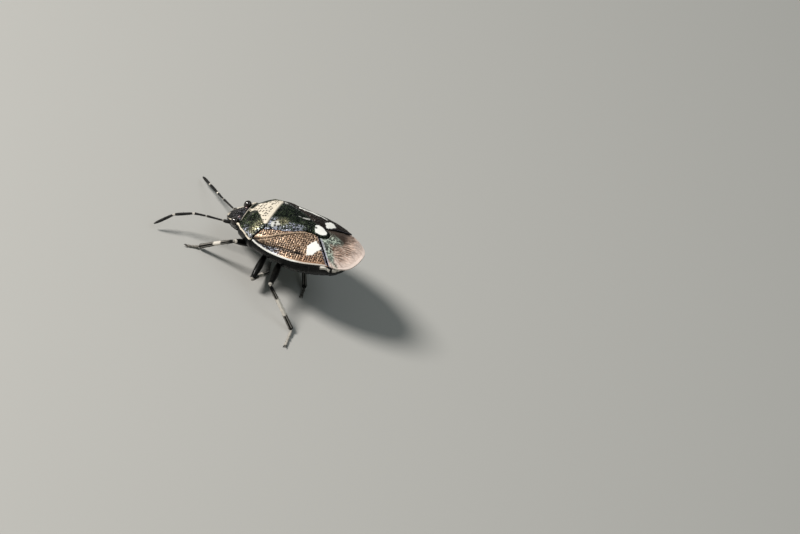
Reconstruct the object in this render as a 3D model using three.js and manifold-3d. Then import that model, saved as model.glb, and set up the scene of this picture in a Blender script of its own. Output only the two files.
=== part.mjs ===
// Shield bug, adult female, as a still life-size model standing on its six legs.
// Millimetres. The trunk is laid out in its own frame: x forward, y left, z up, with z = 0 at the
// lowest point of the belly. The whole animal then stands nose-down on the floor at z = 0.
import * as THREE from "three";
import { mergeVertices } from "three/addons/utils/BufferGeometryUtils.js";
import Module from "manifold-3d";

const wasm = await Module();
wasm.setup();

// Driving dimensions of the animal
const GAP = 0.025; // clearance kept between neighbouring pieces
const PLATE = 0.15; // thickness of the hard back plates
const MEMBRANE = 0.07; // thickness of the soft wing tips
const NOSE_DOWN = THREE.MathUtils.degToRad(20); // tilt of the body over the floor
const BELLY_HEIGHT = 1.375; // square distance from the frame's origin down to the floor

const HEAD = { base: 2.3, tip: 3.17, rim: 0.05 };
const EYE = { at: [2.52, 0.735, 1.3], half: [0.19, 0.205, 0.225] };
const OCELLUS = { at: [2.45, 0.4, 1.375], radius: 0.055 };
const PRONOTUM = { rear: 0.88, humeral: 1.32, shoulder: 1.66, front: 2.27, corner: 2.37, neck: 0.9 };
const SCUTELLUM = { base: 0.88, apex: -1.79, halfBase: 1.24, proud: 0.035 };
const CORIUM = { inner: [-1.43, 0.36], outer: [-2.43, 1.4] };
const WING_TIP = { centre: -2.45, length: 1.15, half: 1.4 };
const ABDOMEN = { front: -0.28, tip: -3.22, widest: -1.4, half: 1.77, tuck: 0.03 };
const THORAX = { rear: -0.25, front: 2.27, inset: 0.07 };

// Materials, one finish for each kind of surface
const FINISH = {
  shell: { color: 0x0e1512, roughness: 0.28, metalness: 0.35 },
  wing: { color: 0x3a2622, roughness: 0.4, metalness: 0.3 },
  membrane: { color: 0x4a3a3a, roughness: 0.45, metalness: 0.0 },
  belly: { color: 0x0b0b0c, roughness: 0.3, metalness: 0.1 },
  limb: { color: 0x0d0d0e, roughness: 0.4, metalness: 0.05 },
  eye: { color: 0x14100e, roughness: 0.18, metalness: 0.0 },
};

// Smooth curve through a few stations, read as a function of the first number
function profile(stations) {
  const slope = stations.map((here, i) => {
    const before = stations[Math.max(0, i - 1)];
    const after = stations[Math.min(stations.length - 1, i + 1)];
    return (after[1] - before[1]) / (after[0] - before[0]);
  });
  return (at) => {
    let i = 0;
    while (i < stations.length - 2 && at > stations[i + 1][0]) i += 1;
    const [x0, y0] = stations[i];
    const [x1, y1] = stations[i + 1];
    const span = x1 - x0;
    const t = THREE.MathUtils.clamp((at - x0) / span, 0, 1);
    const rise = (1 + 2 * t) * (1 - t) * (1 - t) * y0 + t * t * (3 - 2 * t) * y1;
    return rise + t * (1 - t) * span * ((1 - t) * slope[i] - t * slope[i + 1]);
  };
}

const bump = (value, centre, width) => Math.exp(-(((value - centre) / width) ** 2));
const mix = THREE.MathUtils.lerp;
const ease = THREE.MathUtils.smoothstep;

// Half width of the back, seen from above, from the wing tips to the neck
const wingSide = profile([[-2.45, 1.4], [-1.9, 1.63], [-1.4, 1.8], [-0.8, 1.92], [-0.1, 1.93], [0.6, 1.82], [1.3, 1.63]]);
const neckSide = profile([[1.3, 1.63], [1.4, 1.645], [1.7, 1.45], [2.05, 1.14], [2.37, 0.9]]);
function halfBack(x) {
  if (x < WING_TIP.centre) {
    const along = Math.min(1, (WING_TIP.centre - x) / WING_TIP.length);
    return Math.max(0.05, WING_TIP.half * Math.sqrt(1 - along * along));
  }
  return x < 1.3 ? wingSide(x) : neckSide(x);
}

// Height of the back along the midline and along its side margins
const ridge = profile([
  [-3.62, 1.14], [-3.2, 1.26], [-2.6, 1.44], [-1.8, 1.7], [-0.8, 1.92],
  [0.1, 2.0], [0.9, 2.03], [1.5, 1.94], [2.0, 1.68], [2.37, 1.44],
]);
const margin = profile([[-3.62, 1.1], [-3.3, 0.97], [-2.9, 1.02], [-2.3, 1.13], [-1, 1.13], [0.4, 1.15], [0.9, 1.21], [1.4, 1.31], [1.9, 1.28], [2.37, 1.24]]);
const fullness = profile([[-3.6, 1.8], [-1.4, 1.9], [0, 2.35], [1, 3.0], [1.5, 2.9], [2.4, 2.4]]);
const roundness = profile([[-3.6, 0.95], [-1.4, 0.94], [0, 0.83], [1, 0.7], [2.4, 0.7]]);

// The smooth back that the plates follow
function back(x, y) {
  const across = Math.min(1, Math.abs(y) / halfBack(x));
  const crown = Math.pow(1 - Math.pow(across, fullness(x)), roundness(x));
  return margin(x) + (ridge(x) - margin(x)) * crown;
}

// Lowest line of the trunk along the midline
const keel = profile([[-3.25, 0.8], [-2.9, 0.38], [-2.4, 0.16], [-1.7, 0.03], [-0.9, 0], [0.2, 0.14], [1.6, 0.2], [2.3, 0.42]]);

// Turning meshes into solids and back
function solid(geometry) {
  const bare = geometry.clone();
  bare.deleteAttribute("normal");
  bare.deleteAttribute("uv");
  const merged = mergeVertices(bare, 1e-5);
  const vertProperties = new Float32Array(merged.attributes.position.array);
  const triVerts = new Uint32Array(merged.index.array);
  return new wasm.Manifold(new wasm.Mesh({ numProp: 3, vertProperties, triVerts }));
}

function largest(manifold) {
  return manifold.decompose().reduce((best, piece) => (piece.volume() > best.volume() ? piece : best));
}

function surface(manifold) {
  const mesh = largest(manifold).getMesh();
  const geometry = new THREE.BufferGeometry();
  geometry.setAttribute("position", new THREE.BufferAttribute(mesh.vertProperties, 3));
  geometry.setIndex(new THREE.BufferAttribute(mesh.triVerts, 1));
  geometry.computeVertexNormals();
  return geometry;
}

// A closed body from rings of equal size, each end shut by a fan
function skin(rings) {
  const size = rings[0].length;
  const points = rings.flat();
  const index = [];
  rings.slice(1).forEach((ring, k) => {
    for (let i = 0; i < size; i += 1) {
      const a = k * size + i;
      const b = k * size + ((i + 1) % size);
      index.push(a, b, a + size, b, b + size, a + size);
    }
  });
  [rings[0], rings[rings.length - 1]].forEach((ring, end) => {
    const hub = points.length;
    const centre = ring.reduce((sum, p) => sum.add(p), new THREE.Vector3()).divideScalar(size);
    points.push(centre);
    const start = end === 0 ? 0 : (rings.length - 1) * size;
    for (let i = 0; i < size; i += 1) {
      const a = start + i;
      const b = start + ((i + 1) % size);
      index.push(...(end === 0 ? [b, a, hub] : [a, b, hub]));
    }
  });
  const geometry = new THREE.BufferGeometry().setFromPoints(points);
  geometry.setIndex(index);
  return solid(geometry);
}

// A curved plate: place(s, v) gives its plan, top and under its two faces, which share one pattern
function plate(place, top, under, alongSteps, acrossSteps) {
  const points = [];
  for (const lower of [0, 1]) {
    for (const s of alongSteps) {
      for (const v of acrossSteps) {
        const [x, y] = place(s, v);
        points.push(new THREE.Vector3(x, y, lower ? under(x, y) : top(x, y, s, v)));
      }
    }
  }
  const wide = acrossSteps.length;
  const face = alongSteps.length * wide;
  const at = (i, j, lower) => lower * face + i * wide + j;
  const index = [];
  const quad = (a, b, c, d) => index.push(a, b, c, a, c, d);
  for (let i = 0; i < alongSteps.length - 1; i += 1) {
    for (let j = 0; j < wide - 1; j += 1) {
      quad(at(i, j, 0), at(i + 1, j, 0), at(i + 1, j + 1, 0), at(i, j + 1, 0));
      index.push(at(i, j, 1), at(i + 1, j + 1, 1), at(i + 1, j, 1));
      index.push(at(i, j, 1), at(i, j + 1, 1), at(i + 1, j + 1, 1));
    }
  }
  const wall = (i0, j0, i1, j1) => quad(at(i0, j0, 0), at(i1, j1, 0), at(i1, j1, 1), at(i0, j0, 1));
  for (let j = 0; j < wide - 1; j += 1) {
    wall(0, j, 0, j + 1);
    wall(alongSteps.length - 1, j + 1, alongSteps.length - 1, j);
  }
  for (let i = 0; i < alongSteps.length - 1; i += 1) {
    wall(i + 1, 0, i, 0);
    wall(i, wide - 1, i + 1, wide - 1);
  }
  const geometry = new THREE.BufferGeometry().setFromPoints(points);
  geometry.setIndex(index);
  return solid(geometry);
}

const steps = (count, from = 0, to = 1) => Array.from({ length: count + 1 }, (_, i) => mix(from, to, i / count));

// A limb piece round a line of points. girth lists [share of the length, radius] from root to tip.
function limb(points, girth, sides, grow = 0) {
  const line = new THREE.CatmullRomCurve3(points.map((p) => new THREE.Vector3(...p)));
  const lead = line.getTangentAt(0);
  const spin = Math.abs(lead.z) < 0.8 ? new THREE.Vector3(0, 0, 1) : new THREE.Vector3(1, 0, 0);
  const rings = girth.map(([share, radius]) => {
    const centre = line.getPointAt(share);
    const ahead = line.getTangentAt(share);
    if (grow > 0 && share === 0) centre.addScaledVector(ahead, -grow);
    if (grow > 0 && share === 1) centre.addScaledVector(ahead, grow);
    const side = new THREE.Vector3().crossVectors(spin, ahead).normalize();
    const up = new THREE.Vector3().crossVectors(ahead, side);
    return steps(sides - 1, 0, (2 * Math.PI * (sides - 1)) / sides).map((turn) =>
      centre.clone().addScaledVector(side, Math.cos(turn) * (radius + grow)).addScaledVector(up, Math.sin(turn) * (radius + grow)));
  });
  return skin(rings);
}

function ellipsoid(at, half, wide, high) {
  const geometry = new THREE.SphereGeometry(1, wide, high);
  geometry.scale(...half);
  geometry.translate(...at);
  return solid(geometry);
}

const grown = (half, by) => half.map((value) => value + by);
const mirrored = ([x, y, z], side) => [x, y * side, z];

// Trunk
const underPlates = (x, y) => back(x, y) - PLATE - GAP;

function roundBelly(x, half, shoulder, low, count) {
  return steps(count, 0, Math.PI).slice(1, -1).map((turn) => {
    const y = half * Math.sign(Math.cos(turn)) * Math.pow(Math.abs(Math.cos(turn)), 0.85);
    return new THREE.Vector3(x, y, mix(shoulder, low, Math.pow(Math.sin(turn), 0.9)));
  });
}

function makeThorax() {
  const rings = steps(13, THORAX.rear, THORAX.front).map((x) => {
    const half = halfBack(x) - THORAX.inset;
    const roof = steps(12, -half, half).map((y) => new THREE.Vector3(x, y, underPlates(x, y)));
    const shoulder = underPlates(x, half);
    return [...roof, ...roundBelly(x, half, shoulder, keel(x), 16)];
  });
  return skin(rings.reverse());
}

// Side margin of the abdomen: tucked under the wings in front, a narrow ledge outside them behind
function abdomenSide(x) {
  const behind = (ABDOMEN.widest - x) / (ABDOMEN.widest - ABDOMEN.tip + 0.03);
  return behind < 0 ? halfBack(x) - ABDOMEN.tuck : ABDOMEN.half * Math.sqrt(1 - behind * behind);
}

const SEGMENT_ENDS = [-0.72, -1.16, -1.6, -2.02, -2.42, -2.8];
const SEGMENT_GROOVE = 0.035;

function makeAbdomen() {
  const stations = [ABDOMEN.front, -0.5, ...SEGMENT_ENDS.flatMap((x) => [x + 0.05, x, x - 0.05, x - 0.2]), -3.1, ABDOMEN.tip];
  const rings = stations.map((x) => {
    const half = abdomenSide(x);
    const shown = ease(x, -2.55, -2.3) * (1 - ease(x, -1.75, -1.5));
    const inner = Math.min(halfBack(x) + GAP, half - 0.02);
    const rim = mix(underPlates(x, half), margin(x) - 0.02, shown);
    const dent = SEGMENT_GROOVE * SEGMENT_ENDS.reduce((sum, end) => sum + bump(x, end, 0.03), 0);
    const under = [1, 0.86, 0.66, 0.44, 0.22, 0].map((share) => [inner * share, underPlates(x, inner * share)]);
    const roof = [[half - dent, rim - 0.03], [inner, rim], ...under];
    const right = roof.map(([y, z]) => new THREE.Vector3(x, -y, z));
    const left = roof.slice(0, -1).reverse().map(([y, z]) => new THREE.Vector3(x, y, z));
    return [...right, ...left, ...roundBelly(x, half - 0.04 - dent, rim - 0.12, keel(x) + dent, 16)];
  });
  return skin(rings);
}

// Pronotum, the broad shield behind the head
const frontEdge = (y) => mix(PRONOTUM.front, PRONOTUM.corner, ease(Math.abs(y), 0.7, PRONOTUM.neck));
const rearEdge = (y) => mix(PRONOTUM.rear, PRONOTUM.humeral, ease(Math.abs(y), 0.95, PRONOTUM.shoulder + 0.1) ** 1.2);
const shieldRelief = (x, y) => {
  const across = Math.abs(y) / halfBack(x);
  const rimmed = 0.045 * ease(across, 0.9, 1);
  const collar = 0.04 * ease(x, 2.1, 2.16) - 0.03 * bump(x, 2.07, 0.04);
  const callus = 0.05 * bump(x, 1.82, 0.15) * bump(Math.abs(y), 0.48, 0.24);
  const waist = 0.035 * bump(x, 1.55, 0.09) * (1 - across);
  return rimmed + collar + callus - waist;
};

function makePronotum() {
  const place = (s, v) => {
    const y = v * mix(PRONOTUM.shoulder, PRONOTUM.neck, s);
    const x = mix(rearEdge(v * PRONOTUM.shoulder), frontEdge(v * PRONOTUM.neck), s);
    return [x, (y / mix(PRONOTUM.shoulder, PRONOTUM.neck, s)) * sideOfShield(s)];
  };
  const along = [0, 0.04, 0.14, 0.28, 0.42, 0.54, 0.63, 0.72, 0.82, 0.88, 0.94, 1];
  const half = [0.12, 0.24, 0.36, 0.48, 0.6, 0.72, 0.82, 0.89, 0.95, 1];
  const across = [...half.map((v) => -v).reverse(), 0, ...half];
  const top = (x, y, s) => back(x, y) + shieldRelief(x, y) - 0.05 * (1 - ease(s, 0, 0.08));
  return plate(place, top, (x, y) => back(x, y) - PLATE, along, across);
}

// Side margin of the pronotum as a share of the way from the humeral angle to the neck
const sideOfShield = profile([[0, 1.6], [0.06, 1.655], [0.14, 1.65], [0.4, 1.42], [0.7, 1.13], [1, 0.9]]);

// Scutellum, the long triangle down the middle of the back
const scutellumSide = profile([[-1.79, 0.08], [-1.74, 0.2], [-1.6, 0.29], [-1.34, 0.33], [-1.1, 0.35], [-0.8, 0.45], [-0.26, 0.8], [0.37, 1.05], [0.88, 1.24]]);

function makeScutellum() {
  const place = (s, v) => {
    const x = mix(SCUTELLUM.apex, rearEdge(v * SCUTELLUM.halfBase) - GAP, s);
    return [x, v * scutellumSide(mix(SCUTELLUM.apex, SCUTELLUM.base, s))];
  };
  const top = (x, y, s, v) => {
    const rounded = 0.05 * ease(Math.abs(v), 0.8, 1) + 0.05 * (1 - ease(x, SCUTELLUM.apex, SCUTELLUM.apex + 0.12));
    return back(x, y) + SCUTELLUM.proud + 0.03 * bump(x, 0.5, 0.3) * (1 - v * v) - rounded;
  };
  const along = [0, 0.02, 0.06, 0.13, 0.22, 0.34, 0.46, 0.58, 0.7, 0.8, 0.9, 1];
  const half = [0.2, 0.4, 0.6, 0.8, 0.92, 1];
  const across = [...half.map((v) => -v).reverse(), 0, ...half];
  return plate(place, top, (x, y) => back(x, y) - PLATE, along, across);
}

// Corium, the hard fore part of each wing, with its veins and raised outer margin
const coriumInside = (x) => scutellumSide(x) + GAP;
const coriumRear = (y) => mix(CORIUM.inner[0], CORIUM.outer[0], (y - CORIUM.inner[1]) / (CORIUM.outer[1] - CORIUM.inner[1]));

function makeCorium(side) {
  const place = (s, v) => {
    const inner = [mix(CORIUM.inner[0], PRONOTUM.rear - GAP, s), 0];
    inner[1] = coriumInside(inner[0]);
    const outerX = mix(CORIUM.outer[0], PRONOTUM.humeral - 0.1, s);
    const y = mix(inner[1], halfBack(outerX), v);
    const reach = mix(inner[0], outerX, v);
    const bulge = 0.06 * Math.sin(Math.PI * v) * (1 - s);
    const x = s === 1 ? rearEdge(y) - GAP : Math.min(reach - bulge, rearEdge(y) - GAP - 0.04);
    return [x, y * side];
  };
  const top = (x, y, s, v) => {
    const seam = 0.03 * bump(v, 0.24 + 0.1 * (1 - s), 0.05) + 0.025 * bump(v, 0.8, 0.05);
    const vein = 0.02 * bump(v, 0.55, 0.07);
    return back(x, Math.abs(y)) - seam + vein + 0.03 * ease(v, 0.9, 1) - 0.02 * (1 - ease(s, 0, 0.08));
  };
  const along = [0, 0.05, 0.14, 0.25, 0.38, 0.5, 0.62, 0.74, 0.85, 0.94, 1];
  const across = [0, 0.1, 0.2, 0.28, 0.34, 0.44, 0.55, 0.66, 0.75, 0.8, 0.86, 0.93, 1];
  return plate(place, top, (x, y) => back(x, Math.abs(y)) - PLATE, along, side > 0 ? across : [...across].reverse());
}

// Membrane, the soft tip of each wing. Its veins are ridges that fan out from the corium.
const VEINS = 7;

function membraneFront(y) {
  const out = Math.abs(y);
  if (out > CORIUM.inner[1]) return coriumRear(out) - 0.075 - GAP;
  const reach = profile([[0, -1.79], [0.2, -1.74], [0.29, -1.6], [0.36, -1.43]])(out);
  return reach - 0.04 - GAP;
}

function makeMembrane(from, to) {
  const place = (s, v) => {
    const y = v * WING_TIP.half * 0.985;
    const front = [membraneFront(y), y];
    const turn = v * Math.PI * 0.49;
    const rear = [WING_TIP.centre - WING_TIP.length * Math.cos(turn), WING_TIP.half * Math.sin(turn)];
    return [mix(front[0], rear[0], s), mix(front[1], rear[1], s)];
  };
  const veinAt = (v) => 0.03 * Math.cos(v * VEINS * Math.PI) ** 2;
  const top = (x, y, s, v) => back(x, y) - 0.05 + veinAt(v) * ease(s, 0.02, 0.2) * (1 - ease(s, 0.8, 1));
  const columns = Math.max(4, Math.round(((to - from) * VEINS * 2)));
  return plate(place, top, (x, y) => back(x, y) - 0.05 - MEMBRANE, [0, 0.12, 0.3, 0.5, 0.7, 0.88, 1], steps(columns, to, from));
}

// Head with its raised side lobes, sockets for the eyes and the folded beak
const headSide = profile([[2.3, 0.7], [2.5, 0.72], [2.68, 0.63], [2.83, 0.53], [2.95, 0.44], [3.05, 0.33], [3.12, 0.21], [3.17, 0.07]]);
const headRidge = profile([[2.3, 1.44], [2.55, 1.42], [2.8, 1.3], [3.0, 1.15], [3.17, 1.02]]);
const headRim = profile([[2.3, 1.22], [2.6, 1.2], [2.9, 1.1], [3.17, 0.97]]);
const headKeel = profile([[2.3, 0.58], [2.6, 0.52], [2.9, 0.55], [3.05, 0.68], [3.17, 0.88]]);

function makeHead() {
  const place = (s, v) => {
    const x = mix(HEAD.base, HEAD.tip, s);
    return [x, v * headSide(x)];
  };
  const top = (x, y, s, v) => {
    const out = Math.abs(v);
    const tylus = 0.02 * bump(y, 0, 0.09) - 0.03 * bump(Math.abs(y), 0.16, 0.04);
    const lobes = tylus * ease(x, 2.6, 2.75) + 0.035 * ease(out, 0.84, 0.98) * ease(x, 2.65, 2.8);
    return headRidge(x) - (headRidge(x) - headRim(x)) * out ** 2.2 + lobes;
  };
  const under = (x, y) => {
    const out = Math.min(1, Math.abs(y) / headSide(x));
    const low = headRim(x) - HEAD.rim;
    return low - (low - headKeel(x)) * (1 - out ** 2.4) ** 0.8;
  };
  const along = [0, 0.12, 0.26, 0.38, 0.5, 0.6, 0.7, 0.79, 0.87, 0.93, 0.97, 1];
  const half = [0.14, 0.3, 0.42, 0.58, 0.74, 0.86, 0.94, 1];
  const across = [...half.map((v) => -v).reverse(), 0, ...half];
  return plate(place, top, under, along, across);
}

// Antennae: five pieces each, bent at pale joints. Joints are listed from the head outwards.
const ANTENNA_JOINTS = {
  left: [[2.8, 0.53, 1.0], [3.11, 0.7, 1.11], [3.834, 0.998, 1.275], [4.36, 1.228, 1.362], [5.13, 1.71, 1.305], [5.8, 2.39, 0.96]],
  right: [[2.8, -0.53, 1.0], [3.12, -0.6, 0.92], [3.825, -0.986, 0.967], [4.256, -1.333, 0.915], [4.887, -1.858, 0.838], [5.456, -2.302, 0.799]],
};
const ANTENNA_GIRTH = [
  [[0, 0.06], [0.3, 0.078], [0.8, 0.078], [1, 0.05]],
  [[0, 0.033], [0.12, 0.04], [0.6, 0.045], [0.93, 0.054], [1, 0.038]],
  [[0, 0.033], [0.12, 0.042], [0.6, 0.047], [0.92, 0.058], [1, 0.038]],
  [[0, 0.033], [0.1, 0.05], [0.4, 0.064], [0.85, 0.064], [1, 0.04]],
  [[0, 0.033], [0.1, 0.054], [0.4, 0.068], [0.75, 0.062], [0.93, 0.04], [1, 0.018]],
];

function antennaPiece(joints, i, grow = 0) {
  return limb([joints[i], joints[i + 1]], ANTENNA_GIRTH[i], 8, grow);
}

// Legs. Hip and knee are fixed to the trunk, ankle and toe are where they meet the floor.
function onFloor([x, y], height) {
  return [x, y, (height - BELLY_HEIGHT) / Math.cos(NOSE_DOWN) + Math.tan(NOSE_DOWN) * x];
}

const ANKLE_HEIGHT = 0.125;
const TOE_HEIGHT = 0.045;
const LEGS = {
  fore_left: { hip: [1.7, 0.62, 0.22], knee: [2.08, 1.65, 0.94], ankle: [3.731, 1.717], toe: [4.2, 2.05], size: 0.9 },
  mid_left: { hip: [0.8, 0.68, 0.18], knee: [0.87, 2.13, -0.46], ankle: [0.704, 0.488], toe: [0.92, -0.2], size: 0.95 },
  hind_left: { hip: [0.02, 0.7, 0.2], knee: [-0.19, 2.55, -0.09], ankle: [-1.587, 2.833], toe: [-1.745, 3.87], size: 1 },
  fore_right: { hip: [1.7, -0.62, 0.22], knee: [2.3, -1.55, 0.3], ankle: [2.95, -2.25], toe: [3.3, -2.75], size: 0.9 },
  mid_right: { hip: [0.8, -0.68, 0.18], knee: [0.75, -2.15, 0.3], ankle: [0.55, -3.15], toe: [0.45, -3.8], size: 0.95 },
  hind_right: { hip: [0.02, -0.7, 0.2], knee: [0.12, -2.12, -0.72], ankle: [-0.944, -0.059], toe: [-1.02, 0.42], size: 1 },
};

const between = (a, b, share, lift = 0) => [mix(a[0], b[0], share), mix(a[1], b[1], share), mix(a[2], b[2], share) + lift];

function coxaOf(leg, grow = 0) {
  const inner = [leg.hip[0] + 0.02, leg.hip[1] * 0.5, leg.hip[2] + 0.1];
  return limb([inner, leg.hip], [[0, 0.15], [0.3, 0.17], [0.75, 0.15], [1, 0.09]], 10, grow);
}

function femurOf(leg, grow = 0) {
  const stout = leg.size * 0.165;
  const girth = [[0, 0.075], [0.05, 0.095], [0.11, 0.1], [0.16, 0.12], [0.4, stout], [0.65, stout], [0.86, 0.12], [0.95, 0.115], [1, 0.06]];
  return limb([leg.hip, between(leg.hip, leg.knee, 0.5, 0.03), leg.knee], girth, 10, grow);
}

function tibiaOf(leg, grow = 0) {
  const ankle = onFloor(leg.ankle, ANKLE_HEIGHT);
  const girth = [[0, 0.06], [0.05, 0.08], [0.12, 0.09], [0.5, 0.1], [0.85, 0.108], [0.96, 0.112], [1, 0.075]];
  return limb([leg.knee, between(leg.knee, ankle, 0.5, 0.03), ankle], girth, 8, grow);
}

// Foot of three joints with two claws, trimmed flat where it stands
function footOf(leg) {
  const ankle = onFloor(leg.ankle, ANKLE_HEIGHT);
  const toe = onFloor(leg.toe, TOE_HEIGHT);
  const joints = [ankle, between(ankle, toe, 0.42, -0.02), between(ankle, toe, 0.62, -0.015), toe];
  const lengths = joints.slice(1).map((joint, i) => {
    const girth = [[0, 0.035], [0.2, 0.05], [0.85, 0.064], [1, 0.045]];
    return limb([joints[i], joint], girth, 7);
  });
  const ahead = new THREE.Vector3(...toe).sub(new THREE.Vector3(...joints[2])).normalize();
  const aside = new THREE.Vector3(-ahead.y, ahead.x, 0).normalize();
  const claws = [-1, 1].map((side) => {
    const root = new THREE.Vector3(...toe).addScaledVector(ahead, -0.03);
    const bend = root.clone().addScaledVector(ahead, 0.1).addScaledVector(aside, side * 0.055);
    bend.z += 0.02;
    const tip = root.clone().addScaledVector(ahead, 0.17).addScaledVector(aside, side * 0.075);
    tip.z -= 0.02;
    return limb([root, bend, tip].map((p) => p.toArray()), [[0, 0.03], [0.5, 0.024], [1, 0.008]], 6);
  });
  return [...lengths.slice(1), ...claws].reduce((whole, piece) => whole.add(piece), lengths[0]);
}

function floorBlock() {
  const block = new THREE.BoxGeometry(30, 30, 4);
  block.translate(0, 0, -2 - BELLY_HEIGHT);
  block.rotateY(-NOSE_DOWN);
  return solid(block);
}

// Assembly
const animal = new THREE.Group();

function add(name, finish, body) {
  const mesh = new THREE.Mesh(surface(body), new THREE.MeshStandardMaterial(FINISH[finish]));
  mesh.name = name;
  animal.add(mesh);
}

const sides = { left: 1, right: -1 };
const floor = floorBlock();
let thorax = makeThorax();
let head = makeHead();

for (const [name, side] of Object.entries(sides)) {
  const joints = ANTENNA_JOINTS[name];
  const eyeAt = mirrored(EYE.at, side);
  const ocellusAt = mirrored(OCELLUS.at, side);
  const ocellus = Array(3).fill(OCELLUS.radius);
  head = head.subtract(ellipsoid(eyeAt, grown(EYE.half, GAP), 14, 8));
  head = head.subtract(ellipsoid(ocellusAt, grown(ocellus, GAP), 10, 6));
  head = head.subtract(antennaPiece(joints, 0, GAP));
  add(`eye_${name}`, "eye", ellipsoid(eyeAt, EYE.half, 14, 8));
  add(`ocellus_${name}`, "eye", ellipsoid(ocellusAt, ocellus, 8, 6));
  ANTENNA_GIRTH.forEach((girth, i) => {
    const piece = antennaPiece(joints, i);
    const body = i === 0 ? piece : piece.subtract(antennaPiece(joints, i - 1, GAP));
    add(`antenna_${name}_${i + 1}`, "limb", body);
  });
}

for (const [name, leg] of Object.entries(LEGS)) {
  const coxa = coxaOf(leg);
  const femur = femurOf(leg).subtract(coxaOf(leg, GAP));
  const tibia = tibiaOf(leg).subtract(femurOf(leg, GAP));
  const foot = footOf(leg).subtract(tibiaOf(leg, GAP)).subtract(floor);
  thorax = thorax.subtract(coxaOf(leg, GAP)).subtract(femurOf(leg, GAP));
  add(`coxa_${name}`, "belly", coxa);
  add(`femur_${name}`, "limb", femur);
  add(`tibia_${name}`, "limb", tibia);
  add(`foot_${name}`, "limb", foot);
}

const beakLine = [[2.95, 0, 0.5], [2.7, 0, 0.4], [2.25, 0, keel(2.25) - 0.12], [1.6, 0, keel(1.6) - 0.11], [0.85, 0, keel(0.85) - 0.1]];
const beakGirth = [[0, 0.075], [0.2, 0.085], [0.5, 0.065], [0.75, 0.055], [0.95, 0.035], [1, 0.02]];
add("rostrum", "limb", limb(beakLine, beakGirth, 8));
head = head.subtract(limb(beakLine, beakGirth, 8, GAP));

add("head", "shell", head);
add("pronotum", "shell", makePronotum());
add("scutellum", "shell", makeScutellum());
add("corium_left", "wing", makeCorium(1));
add("corium_right", "wing", makeCorium(-1));
add("membrane_left", "membrane", makeMembrane(-0.3, 0.96));
add("membrane_right", "membrane", makeMembrane(-0.96, -0.34));
add("thorax", "belly", thorax);
add("abdomen", "belly", makeAbdomen());

// Stand the animal on the floor, with the middle of its outline over the origin
animal.rotation.y = NOSE_DOWN;
animal.updateMatrixWorld(true);
const outline = new THREE.Box3().setFromObject(animal, true);
const middle = outline.getCenter(new THREE.Vector3());
animal.position.set(-middle.x, -middle.y, -outline.min.z);

const bug = new THREE.Group();
bug.add(animal);
export default bug;
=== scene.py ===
# Shield bug, adult female, as a still life-size model: finish of every surface, camera and light.
import math

import bpy
import numpy as np
from mathutils import Matrix, Vector


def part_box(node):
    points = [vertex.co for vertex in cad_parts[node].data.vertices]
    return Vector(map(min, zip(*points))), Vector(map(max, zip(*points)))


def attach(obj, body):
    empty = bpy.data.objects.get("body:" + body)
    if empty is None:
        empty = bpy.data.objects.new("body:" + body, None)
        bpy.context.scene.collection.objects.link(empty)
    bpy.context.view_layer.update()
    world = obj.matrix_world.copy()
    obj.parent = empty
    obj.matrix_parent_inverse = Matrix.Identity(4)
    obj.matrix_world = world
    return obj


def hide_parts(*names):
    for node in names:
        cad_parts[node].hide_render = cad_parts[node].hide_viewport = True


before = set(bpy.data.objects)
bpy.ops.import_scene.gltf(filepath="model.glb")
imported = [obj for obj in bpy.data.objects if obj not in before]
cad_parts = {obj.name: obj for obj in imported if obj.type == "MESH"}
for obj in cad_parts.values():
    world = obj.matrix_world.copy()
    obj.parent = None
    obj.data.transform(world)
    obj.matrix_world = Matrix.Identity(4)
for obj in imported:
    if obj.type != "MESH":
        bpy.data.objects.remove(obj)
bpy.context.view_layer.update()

# Driving sizes in millimetres. The trunk's own frame is x forward, y left, z up from the belly.
MM = 0.001
NOSE_DOWN = math.radians(20)
BELLY_HEIGHT = 1.375
GAP = 0.025
PLATE = 0.15
EYE_AT = (2.52, 0.735, 1.3)
EYE_HALF = (0.19, 0.205, 0.225)
OCELLUS_AT = (2.45, 0.4, 1.375)
OCELLUS_RADIUS = 0.055
WING_TIP = {"centre": -2.45, "length": 1.15, "half": 1.4}
CORIUM_INNER = (-1.43, 0.36)
CORIUM_OUTER = (-2.43, 1.4)
SCUTELLUM_TIP = -1.79
SCUTELLUM_ROOT = 0.88

# Spacing and radius of the punctures of each kind of cuticle, and how loosely those of the wing lie
SHIELD_PITS = (0.1, 0.043)
FINE_PITS = (0.056, 0.016)
WEDGE_DOTS = (0.135, 0.062)
WING_PITS = (0.1, 0.059)
WING_PIT_RIMS = (0.1, 0.056)
WING_LOOSE = 0.45
WING_FINE_PITS = (0.05, 0.015)
HEAD_PITS = (0.078, 0.029)
CHEST_PITS = (0.1, 0.034)
BELLY_PITS = (0.085, 0.02)

# Colours of the markings, and of the painted sheen, reflections, highlights and shade
CREAM = (0.76, 0.68, 0.56)
BONE = (0.86, 0.8, 0.72)
WHITE = (0.93, 0.92, 0.88)
# COPPER is a painted sheen, GOLD and LILAC are painted reflections, BLUE_EDGE is a painted highlight along
# edges, and NEAR_BLACK also paints shade on the corium
COPPER = (0.46, 0.23, 0.13)
NEAR_BLACK = (0.006, 0.007, 0.008)
GOLD = (0.7, 0.64, 0.4)
LILAC = (0.58, 0.61, 0.74)
BLUE_EDGE = (0.34, 0.35, 0.47)
DUST = (0.5, 0.48, 0.44)


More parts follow.
